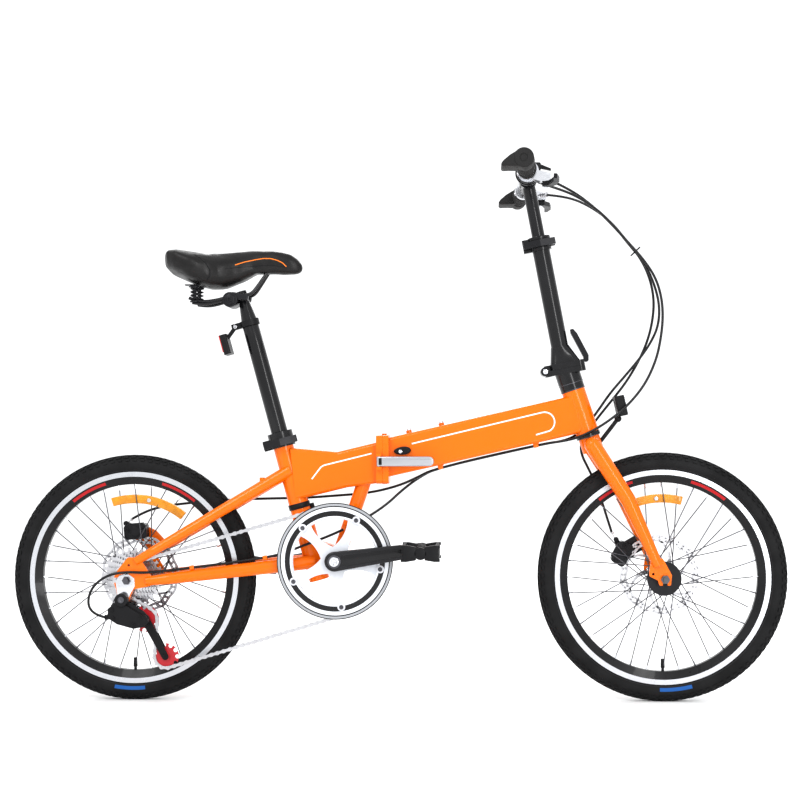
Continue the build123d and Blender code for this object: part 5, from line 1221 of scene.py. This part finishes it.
weld = []
HEAD_FOOT, HEAD_UP = Vector((0.3773, 0, 0.523)), leaning(18)
for distance, radius in ((-0.0080, 0.0243), (0.0885, 0.0243), (0.1015, 0.0246)):
    here = HEAD_FOOT + HEAD_UP * distance
    weld.append(ring_on(here, here + HEAD_UP * 0.0016, radius, 0.0009))
dress(join(weld), "headset_lips", dark_steel, FRONT)

STEM_AT, POST_UP = Vector((0.3323, 0, 0.650)), leaning(10.5)
stem_bolts = []
for side in (-1, 1):
    stem_bolts.append(socket_bolt((STEM_AT.x - 0.0374, side * 0.0275, STEM_AT.z - 0.0069),
                                  (0, side, 0), 0.0050, 0.0020))
dress(join(stem_bolts), "stem_hinge_bolts", alloy, FORK)
POST_CLAMP = STEM_AT + POST_UP * 0.249
front_bolt = POST_CLAMP + Vector((0.0215, -0.0040, 0.0040))
knob = rounded(block(front_bolt + Vector((0.001, 0.004, 0)), (0.014, 0.016, 0.015), (0, -0.18, 0)), 0.003,
               3)
dress(knob, "post_clamp_boss", black_paint, POST)
dress(socket_bolt(front_bolt + Vector((0.0035, -0.0035, 0)), (0.25, -1, 0), 0.0050, 0.0030),
      "post_clamp_bolt", alloy, POST)
collar = POST_CLAMP + POST_UP * 0.0130
dress(ring_on(collar - POST_UP * 0.0045, collar + POST_UP * 0.0015, 0.0222, 0.0030), "post_collar_lip",
      black_paint, POST)


# =====================  Pinstripes  =====================
def pinstripe(name, points, width, y, body, closed=False):
    """A thin painted line along points in x and z, standing just clear of a tube's right or left side."""
    corners = [Vector((x, z)) * MM for x, z in points]
    left, right = [], []
    for index, here in enumerate(corners):
        before = corners[max(0, index - 1)]
        after = corners[min(len(corners) - 1, index + 1)]
        normal = (after - before).normalized().orthogonal() * width / 2
        left.append(here + normal)
        right.append(here - normal)
    outline = [tuple(p) for p in left + right[::-1]]
    for side, mark in ((1, "left"), (-1, "right")):
        low, high = sorted((side * (y - 0.0002), side * (y + 0.00025)))
        dress(slab(outline, low, high), f"{name}_{mark}", white_line, body)


front_line = [(33.2, 504.1), (286.0, 563.4)]
front_line += [(293 + 19.5 * cos(radians(angle)),
                545 + 19.5 * sin(radians(angle))) for angle in range(92, -76, -14)]
front_line += [(276.0, 520.3)]
pinstripe("front_beam_line", front_line, 0.0026, 0.021, FRONT)
pinstripe("rear_beam_line",
          [(-164.0, 435.5), (-146, 459.0), (-140, 462.5), (-46.0, 485.3)], 0.0026, 0.021, REAR)


# =====================  Camera, light and floor  =====================
deselect_all()
bpy.ops.mesh.primitive_plane_add(size=40, location=(0, 8, 0))
floor = made()
floor.name = "floor"
pale = bpy.data.materials.new("pale_floor")
pale.use_nodes = True
pale.node_tree.nodes["Principled BSDF"].inputs["Base Color"].default_value = (0.97, 0.97, 0.97, 1)
pale.node_tree.nodes["Principled BSDF"].inputs["Roughness"].default_value = 0.9
floor.data.materials.append(pale)

world = bpy.data.worlds.new("studio")
scene.world = world
world.use_nodes = True
world.node_tree.nodes["Background"].inputs[0].default_value = (0.985, 0.992, 1.0, 1)
world.node_tree.nodes["Background"].inputs[1].default_value = 1.04
scene.view_settings.view_transform = "Standard"
scene.view_settings.look = "Medium High Contrast"


def soft_box(name, place, aim, width, height, power):
    light = bpy.data.lights.new(name, "AREA")
    light.energy = power
    light.shape = "RECTANGLE"
    light.size = width
    light.size_y = height
    lamp = bpy.data.objects.new(name, light)
    scene.collection.objects.link(lamp)
    lamp.location = place
    lamp.rotation_euler = (Vector(aim) - Vector(place)).to_track_quat("-Z", "Y").to_euler()


soft_box("key_light", (-1.6, -2.6, 3.2), (0, 0, 0.4), 1.6, 1.6, 48)
soft_box("strip_light", (1.5, -2.9, 1.3), (0, 0, 0.5), 0.5, 2.6, 34)
soft_box("back_light", (0.4, 3.0, 2.6), (0, 0, 0.5), 2.2, 2.2, 40)

yaw, pitch, roll = 0.0541, 0.0154, -0.0055
forwards = Vector((-sin(yaw) * cos(pitch), cos(yaw) * cos(pitch), sin(pitch)))
sideways = Vector((cos(yaw), sin(yaw), 0))
upwards = sideways.cross(forwards)
right = cos(roll) * sideways + sin(roll) * upwards
up = -sin(roll) * sideways + cos(roll) * upwards
camera_data = bpy.data.cameras.new("camera")
camera_data.sensor_width = 36
camera_data.lens = 70.09
camera = bpy.data.objects.new("camera", camera_data)
scene.collection.objects.link(camera)
turn = Matrix((right, up, -forwards)).transposed()
camera.matrix_world = Matrix.Translation((0.17574, -3.07156, 0.54288)) @ turn.to_4x4()
scene.camera = camera
